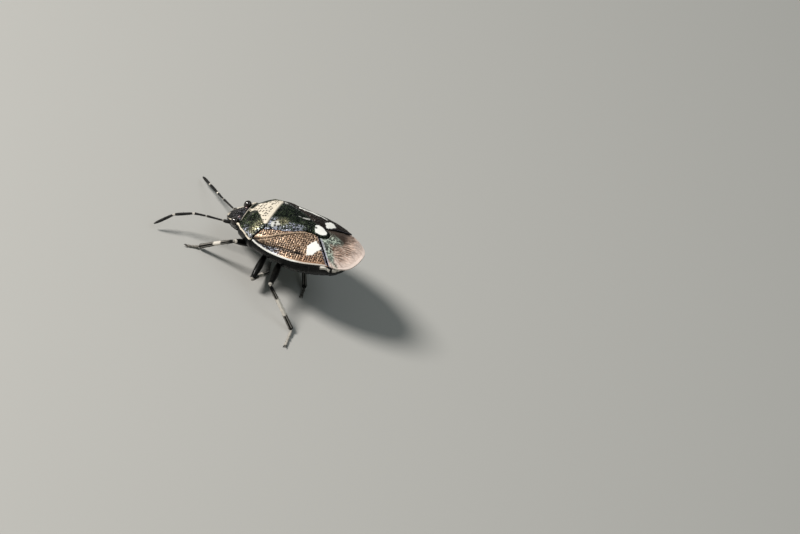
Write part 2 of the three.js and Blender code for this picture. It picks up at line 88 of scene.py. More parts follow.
# Small measures used everywhere
def profile(stations):
    """Smooth curve through stations of place and value. It keeps its end values beyond them."""
    at = np.array([s[0] for s in stations], float)
    value = np.array([s[1] for s in stations], float)
    before = np.concatenate([[0], np.arange(len(at) - 1)])
    after = np.concatenate([np.arange(1, len(at)), [len(at) - 1]])
    slope = (value[after] - value[before]) / (at[after] - at[before])

    def read(x):
        x = np.asarray(x, float)
        i = np.clip(np.searchsorted(at, x, side="left") - 1, 0, len(at) - 2)
        span = at[i + 1] - at[i]
        t = np.clip((x - at[i]) / span, 0, 1)
        rise = (1 + 2 * t) * (1 - t) ** 2 * value[i] + t * t * (3 - 2 * t) * value[i + 1]
        return rise + t * (1 - t) * span * ((1 - t) * slope[i] - t * slope[i + 1])

    return read


def grid(first, second):
    """Two fields of numbers, the first changing from row to row and the second along each row."""
    return np.meshgrid(first, second, indexing="ij")


def mix(a, b, share):
    return a + (b - a) * share


def ease(x, low, high):
    """0 up to low, 1 from high on, and smooth between."""
    t = np.clip((np.asarray(x, float) - low) / (high - low), 0, 1)
    return t * t * (3 - 2 * t)


def hump(x, centre, width):
    """1 at the centre, falling away smoothly to both sides."""
    return np.exp(-(((np.asarray(x, float) - centre) / width) ** 2))


def spread(a, b, seed):
    """A repeatable number from 0 to 1 for each whole-numbered pair."""
    wave = np.sin(a * 127.1 + b * 311.7 + seed * 74.7) * 43758.5453
    return wave - np.floor(wave)


def cells(a, b, spacing, seed, loose=0.62):
    """Distance to the nearest of a field of loosely even points, and that point's own number."""
    a, b = np.asarray(a, float) / spacing, np.asarray(b, float) / spacing
    row, column = np.floor(a), np.floor(b)
    nearest = np.full(a.shape, 9.0)
    lot = np.zeros(a.shape)
    for i in (-1, 0, 1):
        for j in (-1, 0, 1):
            u, w = row + i, column + j
            du = a - (u + 0.5 + loose * (spread(u, w, seed) - 0.5))
            dw = b - (w + 0.5 + loose * (spread(u, w, seed + 9) - 0.5))
            distance = np.hypot(du, dw)
            lot = np.where(distance < nearest, spread(u, w, seed + 5), lot)
            nearest = np.minimum(nearest, distance)
    return nearest * spacing, lot


def pits(a, b, spacing, radius, seed, loose=0.62, share=1.0):
    """Depth of a pit from 1 at its bottom to 0 outside. share is how many of the places hold a pit."""
    distance, lot = cells(a, b, spacing, seed, loose)
    return (1 - ease(distance, radius * 0.35, radius)) * (lot < share)


def pit_rims(a, b, spacing, radius, seed, loose=0.62):
    """Painted highlights on the rims round the same pits, uneven from pit to pit."""
    distance, lot = cells(a, b, spacing, seed, loose)
    return hump(distance, radius * 1.25, radius * 0.4) * lot ** 1.5


def ripple(a, b, size, seed):
    """Soft uneven waves from -1 to 1."""
    total = 0
    for k in range(3):
        turn = 2.1 * k + seed
        along = a * math.cos(turn) + b * math.sin(turn)
        total = total + np.sin(along * 6.28 / (size * (1 + 0.37 * k)) + 5.1 * k * seed)
    return total / 3


# The smooth back that the plates follow, in the same sizes as the solids
wing_side = profile([(-2.45, 1.4), (-1.9, 1.63), (-1.4, 1.8), (-0.8, 1.92), (-0.1, 1.93), (0.6, 1.82),
                     (1.3, 1.63)])
neck_side = profile([(1.3, 1.63), (1.4, 1.645), (1.7, 1.45), (2.05, 1.14), (2.37, 0.9)])
ridge = profile([(-3.62, 1.14), (-3.2, 1.26), (-2.6, 1.44), (-1.8, 1.7), (-0.8, 1.92),
                 (0.1, 2.0), (0.9, 2.03), (1.5, 1.94), (2.0, 1.68), (2.37, 1.44)])
margin = profile([(-3.62, 1.1), (-3.3, 0.97), (-2.9, 1.02), (-2.3, 1.13), (-1, 1.13),
                  (0.4, 1.15), (0.9, 1.21), (1.4, 1.31), (1.9, 1.28), (2.37, 1.24)])
fullness = profile([(-3.6, 1.8), (-1.4, 1.9), (0, 2.35), (1, 3.0), (1.5, 2.9), (2.4, 2.4)])
roundness = profile([(-3.6, 0.95), (-1.4, 0.94), (0, 0.83), (1, 0.7), (2.4, 0.7)])
keel = profile([(-3.25, 0.8), (-2.9, 0.38), (-2.4, 0.16), (-1.7, 0.03), (-0.9, 0), (0.2, 0.14),
                (1.6, 0.2), (2.3, 0.42)])
scutellum_side = profile([(SCUTELLUM_TIP, 0.08), (-1.74, 0.2), (-1.6, 0.29), (-1.34, 0.33), (-1.1, 0.35),
                          (-0.8, 0.45), (-0.26, 0.8), (0.37, 1.05), (SCUTELLUM_ROOT, 1.24)])
shield_side = profile([(0, 1.6), (0.06, 1.655), (0.14, 1.65), (0.4, 1.42), (0.7, 1.13), (1, 0.9)])


def half_back(x):
    x = np.asarray(x, float)
    along = np.clip((WING_TIP["centre"] - x) / WING_TIP["length"], 0, 1)
    tip = np.maximum(0.05, WING_TIP["half"] * np.sqrt(1 - along ** 2))
    return np.where(x < WING_TIP["centre"], tip, np.where(x < 1.3, wing_side(x), neck_side(x)))


def back(x, y):
    across = np.clip(np.abs(y) / half_back(x), 0, 1)
    crown = np.maximum(0, 1 - across ** fullness(x)) ** roundness(x)
    return margin(x) + (ridge(x) - margin(x)) * crown


def front_edge(y):
    return mix(2.27, 2.37, ease(np.abs(y), 0.7, 0.9))


def rear_edge(y):
    return mix(SCUTELLUM_ROOT, 1.32, ease(np.abs(y), 0.95, 1.76) ** 1.2)


# Place of the trunk's frame in the model's frame
tilt = np.array([[math.cos(NOSE_DOWN), 0, math.sin(NOSE_DOWN)],
                 [0, 1, 0],
                 [-math.sin(NOSE_DOWN), 0, math.cos(NOSE_DOWN)]])
eye_low, eye_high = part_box("eye_left")
eye_middle = (np.array(eye_low) + np.array(eye_high)) / 2 / MM
shift = eye_middle - tilt @ np.array(EYE_AT)


def stand(points):
    """Trunk frame in millimetres to the model's frame in metres."""
    return (np.asarray(points, float) @ tilt.T + shift) * MM


def kept_above_floor(points):
    """Whatever would sink into the floor is pressed flat on it."""
    height = stand(points)[:, 2] / MM
    upward = tilt.T @ np.array([0, 0, 1.0])
    return points + np.outer(np.clip(-height, 0, None), upward)


# Making meshes
def add_object(name, data):
    made = bpy.data.objects.new(name, data)
    bpy.context.scene.collection.objects.link(made)
    return made


def new_mesh(name, points, faces, marks=None):
    mesh = bpy.data.meshes.new(name)
    mesh.from_pydata(np.asarray(points, float).tolist(), [], faces)
    for key, values in (marks or {}).items():
        kind = "FLOAT_VECTOR" if np.ndim(values) == 2 else "FLOAT"
        layer = mesh.attributes.new(key, kind, "POINT")
        field = "vector" if kind == "FLOAT_VECTOR" else "value"
        layer.data.foreach_set(field, np.asarray(values, float).ravel())
    mesh.validate()
    mesh.update()
    return mesh


def finish_piece(name, points, faces, materials, marks=None, material_of_face=None, crease=50):
    """One piece of the scene, from points in the trunk's frame, smooth but for its true edges."""
    mesh = new_mesh(name, stand(points), faces, marks)
    for material in materials:
        mesh.materials.append(material)
    if material_of_face is not None:
        mesh.polygons.foreach_set("material_index", np.asarray(material_of_face, np.int32))
    mesh.shade_smooth()
    mesh.set_sharp_from_angle(angle=math.radians(crease))
    return add_object(name, mesh)


def grid_faces(rows, columns, start=0, flip=False, closed=False):
    i, j = grid(np.arange(rows - 1), np.arange(columns if closed else columns - 1))
    k = (j + 1) % columns
    here, on = i * columns, (i + 1) * columns
    quads = np.stack([here + j, on + j, on + k, here + k], -1).reshape(-1, 4) + start
    return (quads[:, ::-1] if flip else quads).tolist()


def closed_sheet(x, y, high, low):
    """Closed curved plate. The third value tells its upper face (0) from its underside and rim (1)."""
    n, m = x.shape
    upper = np.stack([x, y, high], -1).reshape(-1, 3)
    lower = np.stack([x, y, low], -1).reshape(-1, 3)
    faces = grid_faces(n, m) + grid_faces(n, m, n * m, flip=True)
    at = np.arange(n * m).reshape(n, m)
    loop = [*at[0, :], *at[1:, -1], *at[-1, :-1][::-1], *at[1:-1, 0][::-1]]
    for a, b in zip(loop, loop[1:] + loop[:1]):
        faces.append([int(a), int(b), int(b) + n * m, int(a) + n * m])
    # Which way round the sheet was laid is read off its middle
    here, on, beside = at[n // 2, m // 2], at[n // 2 + 1, m // 2], at[n // 2, m // 2 + 1]
    if np.cross(upper[on] - upper[here], upper[beside] - upper[here])[2] < 0:
        faces = [face[::-1] for face in faces]
    kinds = [0] * ((n - 1) * (m - 1)) + [1] * (len(faces) - (n - 1) * (m - 1))
    return np.concatenate([upper, lower]), faces, kinds


def across_arc(y, z):
    """Length along each row of a sheet, measured over its curve from the middle column."""
    step = np.hypot(np.diff(y, axis=1), np.diff(z, axis=1))
    arc = np.concatenate([np.zeros((len(y), 1)), np.cumsum(step, axis=1)], axis=1)
    return arc - arc[:, arc.shape[1] // 2][:, None]


def both(values):
    """The same mark on the upper and the lower face of a sheet."""
    flat = np.asarray(values, float).ravel()
    return np.concatenate([flat, flat])


def on_top(**marks):
    """Marks on the upper face of a sheet, 0 on its lower face."""
    flat = {key: np.asarray(values, float).ravel() for key, values in marks.items()}
    return {key: np.concatenate([values, np.zeros_like(values)]) for key, values in flat.items()}


def rounded(distance, radius):
    """How far a rim has dropped at a distance from its edge, for a rounded rim."""
    inside = np.clip(1 - np.asarray(distance, float) / radius, 0, 1)
    return radius * (1 - np.sqrt(1 - inside ** 2))


def even(low, high, count):
    return np.linspace(low, high, count)


def full_turn(count):
    return np.linspace(0, 2 * math.pi, count, endpoint=False)


def even_to_edges(count):
    """From -1 to 1, closer together at both ends."""
    t = np.linspace(-1, 1, count)
    return t * (1.12 - 0.12 * t * t)


def tube(line, girth, sides, rings, shape=None):
    """Round limb along a smooth line of points, closed at both ends."""
    knots = [np.array(p, float) for p in line]
    dense = []
    for i in range(len(knots) - 1):
        a, b = knots[max(0, i - 1)], knots[i]
        c, d = knots[i + 1], knots[min(len(knots) - 1, i + 2)]
        for t in np.linspace(0, 1, 24, endpoint=False):
            bend, twist = 2 * a - 5 * b + 4 * c - d, 3 * b - a - 3 * c + d
            dense.append(0.5 * (2 * b + (c - a) * t + bend * t * t + twist * t ** 3))
    dense = np.array(dense + [knots[-1]])
    lengths = np.concatenate([[0], np.cumsum(np.linalg.norm(np.diff(dense, axis=0), axis=1))])
    share = 0.5 - 0.5 * np.cos(np.linspace(0, math.pi, rings))
    share = 0.35 * share + 0.65 * np.linspace(0, 1, rings)
    centre = np.stack([np.interp(share * lengths[-1], lengths, dense[:, k]) for k in range(3)], -1)
    ahead = np.gradient(centre, axis=0)
    ahead /= np.linalg.norm(ahead, axis=1, keepdims=True)
    spin = np.array([0, 0, 1.0]) if abs(ahead[0, 2]) < 0.8 else np.array([1.0, 0, 0])
    side = np.cross(spin, ahead)
    side /= np.linalg.norm(side, axis=1, keepdims=True)
    up = np.cross(ahead, side)
    turn = full_turn(sides)
    radius = profile(girth)(share)[:, None] * np.ones(sides)
    end = 0.5 * radius[:, :1]
    run = (share * lengths[-1])[:, None]
    from_end = np.minimum(run, lengths[-1] - run) / np.maximum(end, 1e-6)
    radius = radius * np.sqrt(np.clip(1 - (1 - np.clip(from_end, 0, 1)) ** 2, 0.02, 1))
    if shape is not None:
        radius = radius * shape(share[:, None], turn[None, :])
    cosine, sine = np.cos(turn)[None, :, None], np.sin(turn)[None, :, None]
    spoke = cosine * side[:, None, :] + sine * up[:, None, :]
    points = (centre[:, None, :] + radius[..., None] * spoke).reshape(-1, 3)
    faces = grid_faces(rings, sides, closed=True, flip=True)
    faces.append([int(i) for i in range(sides)][::-1])
    faces.append([int(i) + (rings - 1) * sides for i in range(sides)])
    marks = {"run": np.repeat(share, sides), "along": np.repeat(ahead, sides, axis=0)}
    return points, faces, marks


# Shader groups shared by the materials
def link(tree, *pairs):
    for start, end in pairs:
        tree.links.new(start, end)


def add_node(tree, kind, **values):
    node = tree.nodes.new(kind)
    for key, value in values.items():
        setattr(node, key, value)
    return node


FLOAT = "NodeSocketFloat"


def group(name, inputs, outputs):
    """Shader group with number sockets: the inputs with their standard values, and the outputs."""
    tree = bpy.data.node_groups.new(name, "ShaderNodeTree")
    for key, value in inputs.items():
        tree.interface.new_socket(key, in_out="INPUT", socket_type=FLOAT).default_value = value
    for key in outputs:
        tree.interface.new_socket(key, in_out="OUTPUT", socket_type=FLOAT)
    return tree, tree.nodes.new("NodeGroupInput"), tree.nodes.new("NodeGroupOutput")


def feed(tree, socket, value):
    """Links a socket to another one, or sets it to a number or a plain colour."""
    if isinstance(value, bpy.types.NodeSocket):
        tree.links.new(value, socket)
    elif np.isscalar(value):
        socket.default_value = value
    else:
        socket.default_value = (*value, 1)


def noise(tree, scale, detail, rough=0.5):
    """Uneven pattern that stays with the piece. scale is a number or a socket."""
    node = add_node(tree, "ShaderNodeTexNoise")
    where = add_node(tree, "ShaderNodeTexCoord")
    given = {"Vector": where.outputs["Object"], "Scale": scale, "Detail": detail, "Roughness": rough}
    for key, value in given.items():
        feed(tree, node.inputs[key], value)
    return node.outputs["Fac"]


def ramp(tree, source, stops):
    node = add_node(tree, "ShaderNodeValToRGB")
    band = node.color_ramp
    while len(band.elements) < len(stops):
        band.elements.new(0.5)
    for element, (at, value) in zip(band.elements, stops):
        element.position = at
        element.color = (value, value, value, 1) if np.isscalar(value) else (*value, 1)
    tree.links.new(source, node.inputs["Fac"])
    return node.outputs["Color"]


def blend(tree, share, first, second):
    """Mixed colour. first and second are sockets or plain colours, share a socket or a number."""
    node = add_node(tree, "ShaderNodeMix", data_type="RGBA", blend_type="MIX")
    for at, value in ((0, share), (6, first), (7, second)):
        feed(tree, node.inputs[at], value)
    return node.outputs[2]


def layered(tree, base, layers):
    """Lays colours over one another, each given after the share that it covers."""
    for share, color in layers:
        base = blend(tree, share, base, color)
    return base


def maths(tree, kind, first, second, clamp=False):
    node = add_node(tree, "ShaderNodeMath", operation=kind, use_clamp=clamp)
    for socket, value in zip(node.inputs, (first, second)):
        feed(tree, socket, value)
    return node.outputs[0]


def times(tree, first, second):
    return maths(tree, "MULTIPLY", first, second)


def fine_grain_group():
    """Fine wrinkling of hard cuticle: a height for bump and a patchy mask for gloss."""
    tree, given, result = group("fine grain of cuticle", {"Size": 1.0}, ["Height", "Patches"])
    for key, scale, detail in (("Height", 42000.0, 3.0), ("Patches", 3200.0, 4.0)):
        sized = times(tree, given.outputs["Size"], scale)
        link(tree, (noise(tree, sized, detail), result.inputs[key]))
    return tree


def wear_group():
    """Dust and rub marks: a mask of small worn spots."""
    tree, given, result = group("dust and rubs", {"Amount": 0.3}, ["Mask"])
    spots = ramp(tree, noise(tree, 9000.0, 6.0, 0.7), [(0.56, 0.0), (0.72, 1.0)])
    link(tree, (times(tree, spots, given.outputs["Amount"]), result.inputs["Mask"]))
    return tree


def glint_group():
    """Mask of small crowded painted glints, standing in for the reflections of a metallic sheen."""
    tree, given, result = group("crowded glints", {"Least": 0.06}, ["Mask"])
    spots = ramp(tree, noise(tree, 10500.0, 2.0), [(0.49, 0.0), (0.59, 1.0)])
    link(tree, (maths(tree, "MAXIMUM", spots, given.outputs["Least"]), result.inputs["Mask"]))
    return tree


GRAIN = fine_grain_group()
WEAR = wear_group()
GLINT = glint_group()


def use_group(tree, made, **values):
    node = add_node(tree, "ShaderNodeGroup", node_tree=made)
    for key, value in values.items():
        node.inputs[key].default_value = value
    return node


def material(name):
    made = bpy.data.materials.new(name)
    made.use_nodes = True
    tree = made.node_tree
    shader = next(node for node in tree.nodes if node.type == "BSDF_PRINCIPLED")
    return made, tree, shader


def mark(tree, name):
    node = add_node(tree, "ShaderNodeAttribute", attribute_name=name)
    return node.outputs["Fac"]


def dress(tree, shader, **inputs):
    """Sets or links the named inputs of a material's main shader."""
    for key, value in inputs.items():
        feed(tree, shader.inputs[key.replace("_", " ")], value)


GRAIN_HEIGHT = 0.003 * MM
FACET_HEIGHT = 0.004 * MM


def bump_from(tree, shader, height, distance, strength=0.6):
    node = add_node(tree, "ShaderNodeBump")
    for key, value in (("Height", height), ("Distance", distance), ("Strength", strength)):
        feed(tree, node.inputs[key], value)
    dress(tree, shader, Normal=node.outputs["Normal"])


def cuticle(name, dark, light, spark, cream=CREAM, pit=(0.006, 0.006, 0.007), *,
            metal, rough, coat, glints):
    """Hard metallic cuticle with pits, cream markings and a patchy painted sheen of glints, highlights and
    reflections, all from marks on the mesh.
    """
    made, tree, shader = material(name)
    grain = use_group(tree, GRAIN, Size=1.0)
    glint = use_group(tree, GLINT).outputs["Mask"]
    tint = ramp(tree, grain.outputs["Patches"], [(0.32, 0.0), (0.66, 1.0)])
    pitted, creamy = mark(tree, "pit"), mark(tree, "cream")
    golden = times(tree, mark(tree, "gold"), maths(tree, "MAXIMUM", glint, 0.35))
    pale = blend(tree, tint, cream, tuple(min(1, c * 1.06 + 0.02) for c in cream))
    # Painted light: glints, highlights on pit rims and ridges, gold and lilac reflections, a copper sheen
    # and a bluish highlight along edges. dark is a darker tone, and on the corium also painted shade
    layers = [(times(tree, glint, glints), spark), (mark(tree, "glow"), spark),
              (mark(tree, "copper"), COPPER), (mark(tree, "dark"), NEAR_BLACK),
              (golden, GOLD), (times(tree, mark(tree, "lilac"), glint), LILAC),
              (mark(tree, "edge"), BLUE_EDGE), (pitted, pit),
              (creamy, blend(tree, pitted, pale, (0.03, 0.024, 0.018))),
              (use_group(tree, WEAR, Amount=0.02).outputs["Mask"], DUST)]
    base = layered(tree, blend(tree, tint, dark, light), layers)
    hard = maths(tree, "SUBTRACT", 1.0, creamy, clamp=True)
    clear = maths(tree, "SUBTRACT", 1.0, pitted, clamp=True)
    uneven = maths(tree, "ADD", times(tree, grain.outputs["Patches"], 0.12), rough - 0.06)
    dress(tree, shader, Base_Color=base, Metallic=times(tree, times(tree, hard, clear), metal),
          Roughness=maths(tree, "ADD", uneven, times(tree, creamy, 0.14)),
          Coat_Weight=coat, Coat_Roughness=0.16, IOR=1.28)
    bump_from(tree, shader, grain.outputs["Height"], GRAIN_HEIGHT)
    return made


def plain_cuticle(name, dark, light, rough=0.26, coat=0.03, marked=True):
    """Dark cuticle of limbs, feelers and belly, with bone colour where the mesh is marked."""
    made, tree, shader = material(name)
    grain = use_group(tree, GRAIN, Size=1.3)
    tint = ramp(tree, grain.outputs["Patches"], [(0.35, 0.0), (0.65, 1.0)])
    layers = [(mark(tree, "cream"), BONE)] if marked else []
    layers.append((use_group(tree, WEAR, Amount=0.05).outputs["Mask"], (0.4, 0.38, 0.35)))
    roughness = maths(tree, "ADD", times(tree, grain.outputs["Patches"], 0.16), rough - 0.08)
    dress(tree, shader, Base_Color=layered(tree, blend(tree, tint, dark, light), layers),
          Roughness=roughness, Coat_Weight=coat, Coat_Roughness=0.12, IOR=1.2)
    bump_from(tree, shader, grain.outputs["Height"], GRAIN_HEIGHT)
    return made


def film(name):
    """Smoky wing film: grey-green at the root, pinkish beyond, with brown veins and a pale rim, painted
    glints, a painted highlight line along its front edge and painted shade on its far half.
    """
    made, tree, shader = material(name)
    grain = use_group(tree, GRAIN, Size=0.6)
    patch = ramp(tree, grain.outputs["Patches"], [(0.34, 0.0), (0.64, 1.0)])
    glint = use_group(tree, GLINT, Least=0.0).outputs["Mask"]
    green = blend(tree, patch, (0.012, 0.022, 0.022), (0.1, 0.15, 0.13))
    # Painted glints on the grey-green root and over the film; the edge colour is a painted highlight, and
    # the smoke mark is partly painted shade
    green = blend(tree, times(tree, glint, 0.85), green, (0.56, 0.66, 0.56))
    layers = [(times(tree, glint, 0.35), (0.9, 0.78, 0.68)),
              (mark(tree, "smoke"), (0.03, 0.02, 0.015)),
              (mark(tree, "vein"), (0.045, 0.027, 0.02)),
              (mark(tree, "rim"), (0.93, 0.77, 0.7)),
              (mark(tree, "root"), green),
              (mark(tree, "edge"), (0.55, 0.53, 0.68))]
    base = layered(tree, blend(tree, patch, (0.25, 0.15, 0.11), (0.82, 0.59, 0.48)), layers)
    roughness = maths(tree, "ADD", times(tree, grain.outputs["Patches"], 0.2), 0.24)
    dress(tree, shader, Base_Color=base, Roughness=roughness, Coat_Weight=0.15, Coat_Roughness=0.14, IOR=1.3)
    bump_from(tree, shader, grain.outputs["Height"], FACET_HEIGHT, 0.5)
    return made


def lens(name, middle, rim):
    """Glossy faceted eye, from the colour of a facet's middle to that of its rim."""
    made, tree, shader = material(name)
    facets = add_node(tree, "ShaderNodeTexVoronoi")
    facets.inputs["Scale"].default_value = 38000.0
    where = add_node(tree, "ShaderNodeTexCoord")
    link(tree, (where.outputs["Object"], facets.inputs["Vector"]))
    off_middle = facets.outputs["Distance"]
    dress(tree, shader, Base_Color=ramp(tree, off_middle, [(0.1, middle), (0.8, rim)]),
          Roughness=0.16, Coat_Weight=0.7, Coat_Roughness=0.06)
    bump_from(tree, shader, maths(tree, "SUBTRACT", 1.0, off_middle), FACET_HEIGHT, 0.5)
    return made


def hair_finish(name, color):
    made, tree, shader = material(name)
    base = blend(tree, noise(tree, 5000.0, 2.0, 0.55), color, tuple(c * 0.55 for c in color))
    dress(tree, shader, Base_Color=base, Roughness=0.42, Sheen_Weight=0.3)
    return made


# Colours of the painted glints and highlights of each cuticle
SPARK_GREEN = (0.3, 0.38, 0.2)
SPARK_BLUE = (0.27, 0.35, 0.2)
SPARK_BRONZE = (0.93, 0.7, 0.51)
SPARK_LILAC = (0.3, 0.27, 0.3)
SHIELD = cuticle("pitted black-green cuticle", (0.001, 0.002, 0.001), (0.003, 0.008, 0.003), SPARK_GREEN,
                 metal=0.5, rough=0.24, coat=0.02, glints=0.04)
SCUTE = cuticle("pitted blue-black cuticle", (0.001, 0.002, 0.002), (0.003, 0.008, 0.004), SPARK_BLUE, WHITE,
                metal=0.5, rough=0.24, coat=0.02, glints=0.04)
# Its bronze-tan colour is a painted sheen standing in for light on a dark metallic wing; the far wing is
# painted dark as shade in make_corium
BRONZE = cuticle("pitted bronze wing cuticle", (0.22, 0.115, 0.065), (0.5, 0.31, 0.195), SPARK_BRONZE, WHITE,
                 pit=(0.01, 0.006, 0.005), metal=0.4, rough=0.32, coat=0.05, glints=0.5)
CROWN = cuticle("wrinkled black head cuticle", (0.0015, 0.0017, 0.0017), (0.004, 0.0045, 0.004), SPARK_LILAC,
                metal=0.3, rough=0.26, coat=0.02, glints=0.03)
JET = ((0.003, 0.0035, 0.004), (0.009, 0.01, 0.01))
BELLY = plain_cuticle("glossy black belly cuticle", *JET)
UNDERSIDE = plain_cuticle("black underside of plates", *JET, marked=False)
LIMB = plain_cuticle("black limb cuticle", (0.002, 0.002, 0.0023), (0.006, 0.006, 0.0055), rough=0.3)
FEELER = plain_cuticle("matt feeler cuticle", (0.01, 0.01, 0.01), (0.03, 0.029, 0.028), rough=0.5, coat=0.02)
FILM = film("smoky wing film")
LENS = lens("dark faceted lens", (0.03, 0.02, 0.018), (0.006, 0.005, 0.005))
OCELLUS = lens("red simple eye", (0.3, 0.19, 0.19), (0.13, 0.06, 0.06))
DOWN = hair_finish("grey down", (0.06, 0.054, 0.047))
SPINE = hair_finish("dark bristle", (0.05, 0.045, 0.04))


# Bristles along a limb, scattered by geometry nodes and realized
SHORTEST_BRISTLE = 0.55
LONGEST_BRISTLE = 1.15


def bristle_tree():
    """Three-sided cones over a limb, leaning toward its end, each of its own size."""
    tree = bpy.data.node_groups.new("bristles along a limb", "GeometryNodeTree")
    face = tree.interface
    face.new_socket("Geometry", in_out="INPUT", socket_type="NodeSocketGeometry")
    for key in ("Count per square mm", "Length", "Root radius", "Lean"):
        face.new_socket(key, in_out="INPUT", socket_type=FLOAT)
    face.new_socket("Seed", in_out="INPUT", socket_type="NodeSocketInt")
    face.new_socket("Material", in_out="INPUT", socket_type="NodeSocketMaterial")
    face.new_socket("Geometry", in_out="OUTPUT", socket_type="NodeSocketGeometry")
    given, result = tree.nodes.new("NodeGroupInput"), tree.nodes.new("NodeGroupOutput")
    scatter = add_node(tree, "GeometryNodeDistributePointsOnFaces")
    along = add_node(tree, "GeometryNodeInputNamedAttribute", data_type="FLOAT_VECTOR")
    along.inputs["Name"].default_value = "along"
    lean = add_node(tree, "ShaderNodeVectorMath", operation="SCALE")
    lay = add_node(tree, "ShaderNodeVectorMath", operation="ADD")
    turn = add_node(tree, "FunctionNodeAlignRotationToVector", axis="Z")
    bristle = add_node(tree, "GeometryNodeMeshCone")
    bristle.inputs["Vertices"].default_value = 3
    bristle.inputs["Radius Top"].default_value = 0.0
    size = add_node(tree, "FunctionNodeRandomValue", data_type="FLOAT")
    size.inputs[2].default_value = SHORTEST_BRISTLE
    size.inputs[3].default_value = LONGEST_BRISTLE
    place = add_node(tree, "GeometryNodeInstanceOnPoints")
    real = add_node(tree, "GeometryNodeRealizeInstances")
    finish = add_node(tree, "GeometryNodeSetMaterial")
    vector_out = next(o for o in along.outputs if o.enabled and o.type == "VECTOR")
    asked = given.outputs
    wires = [
        (asked["Geometry"], scatter.inputs["Mesh"]),
        (asked["Count per square mm"], scatter.inputs["Density"]),
        (asked["Seed"], scatter.inputs["Seed"]),
        (vector_out, lean.inputs[0]),
        (asked["Lean"], lean.inputs["Scale"]),
        (lean.outputs[0], lay.inputs[0]),
        (scatter.outputs["Normal"], lay.inputs[1]),
        (lay.outputs[0], turn.inputs["Vector"]),
        (asked["Length"], bristle.inputs["Depth"]),
        (asked["Root radius"], bristle.inputs["Radius Bottom"]),
        (asked["Seed"], size.inputs["Seed"]),
        (scatter.outputs["Points"], place.inputs["Points"]),
        (bristle.outputs["Mesh"], place.inputs["Instance"]),
        (turn.outputs["Rotation"], place.inputs["Rotation"]),
        (size.outputs[1], place.inputs["Scale"]),
        (place.outputs["Instances"], real.inputs["Geometry"]),
        (real.outputs["Geometry"], finish.inputs["Geometry"]),
        (asked["Material"], finish.inputs["Material"]),
        (finish.outputs["Geometry"], result.inputs["Geometry"]),
    ]
    link(tree, *wires)
    return tree


BRISTLES = bristle_tree()


def bristles(points, faces, marks, count, length, radius, lean, seed):
    """Points and faces of the bristles on a limb, in millimetres."""
    mesh = new_mesh("bristle bed", points, faces, {"along": marks["along"]})
    bed = add_object("bristle bed", mesh)
    modifier = bed.modifiers.new("bristles", "NODES")
    modifier.node_group = BRISTLES
    items = BRISTLES.interface.items_tree
    sockets = {item.name: item.identifier for item in items if item.in_out == "INPUT"}
    asked = {"Count per square mm": count, "Length": length, "Root radius": radius, "Lean": lean,
             "Seed": seed, "Material": DOWN}
    for key, value in asked.items():
        modifier[sockets[key]] = value
    bpy.context.view_layer.update()
    evaluated = bed.evaluated_get(bpy.context.evaluated_depsgraph_get())
    grown = bpy.data.meshes.new_from_object(evaluated)
    found = np.empty(len(grown.vertices) * 3)
    grown.vertices.foreach_get("co", found)
    out = found.reshape(-1, 3), [list(p.vertices) for p in grown.polygons]
    bpy.data.objects.remove(bed)
    bpy.data.meshes.remove(mesh)
    bpy.data.meshes.remove(grown)
    return out


def haired(name, parts, materials, coat, seed):
    """A piece of several limb lengths, each (points, faces, marks), with bristles as solid mesh.

    coat lists count for each square mm, length, root radius, lean and number of the material.
    """
    points, faces, kinds, cream = [], [], [], []
    for k, (p, f, marks) in enumerate(parts):
        start = sum(len(q) for q in points)
        points.append(np.asarray(p))
        faces += [[i + start for i in face] for face in f]
        kinds += [0] * len(f)
        cream.append(marks.get("cream", np.zeros(len(p))))
        for bed, (count, length, radius, lean, kind) in enumerate(coat):
            hp, hf = bristles(p, f, marks, count, length, radius, lean, seed + 10 * k + bed)
            start = sum(len(q) for q in points)
            points.append(hp)
            faces += [[i + start for i in face] for face in hf]
            kinds += [kind] * len(hf)
            cream.append(np.zeros(len(hp)))
    points = kept_above_floor(np.concatenate(points))
    return finish_piece(name, points, faces, materials, {"cream": np.concatenate(cream)}, kinds, crease=60)


def settle(piece, slot, *nodes):
    """Ties a piece to the body and hides the parts of the model that it stands for. slot is not used."""
    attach(piece, "root")
    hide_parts(*nodes)


# Plates of the back. On each, s runs from its rear to its front edge and v from one side to the other
def from_line(x, y, start, end):
    """Distance in plan from a short line."""
    start, end = np.array(start), np.array(end)
    way = end - start
    t = np.clip(((x - start[0]) * way[0] + (y - start[1]) * way[1]) / (way @ way), 0, 1)
    return np.hypot(x - start[0] - t * way[0], y - start[1] - t * way[1])


def near_line(x, y, start, end, width):
    """1 on a short line in plan, 0 further from it than its width."""
    return 1 - ease(from_line(x, y, start, end), width * 0.8, width)


def inside(x, y, corners, soft=0.015):
    """1 inside a convex outline in plan, listed anticlockwise seen from above."""
    least = np.full(np.shape(x), 9.0)
    for (ax, ay), (bx, by) in zip(corners, corners[1:] + corners[:1]):
        length = math.hypot(bx - ax, by - ay)
        least = np.minimum(least, ((bx - ax) * (y - ay) - (by - ay) * (x - ax)) / length)
    return ease(least, -soft, soft)


def plate(name, sheet, finish, marks, slot, node):
    """Hard plate with its own finish above and black cuticle below."""
    points, faces, kinds = sheet
    settle(finish_piece(name, points, faces, [finish, UNDERSIDE], marks, kinds), slot, node)


# Half widths of the pale wedge of the shield, on the left and on the right of the midline
wedge_left = profile([(0.8, 0.9), (1.02, 0.92), (1.16, 0.85), (1.25, 0.71), (1.4, 0.51), (1.55, 0.33),
                      (1.7, 0.13), (1.9, 0.06), (2.17, 0.02)])
wedge_right = profile([(0.8, 1.17), (1.11, 1.12), (1.5, 0.75), (1.85, 0.42), (2.1, 0.2), (2.2, 0.1)])


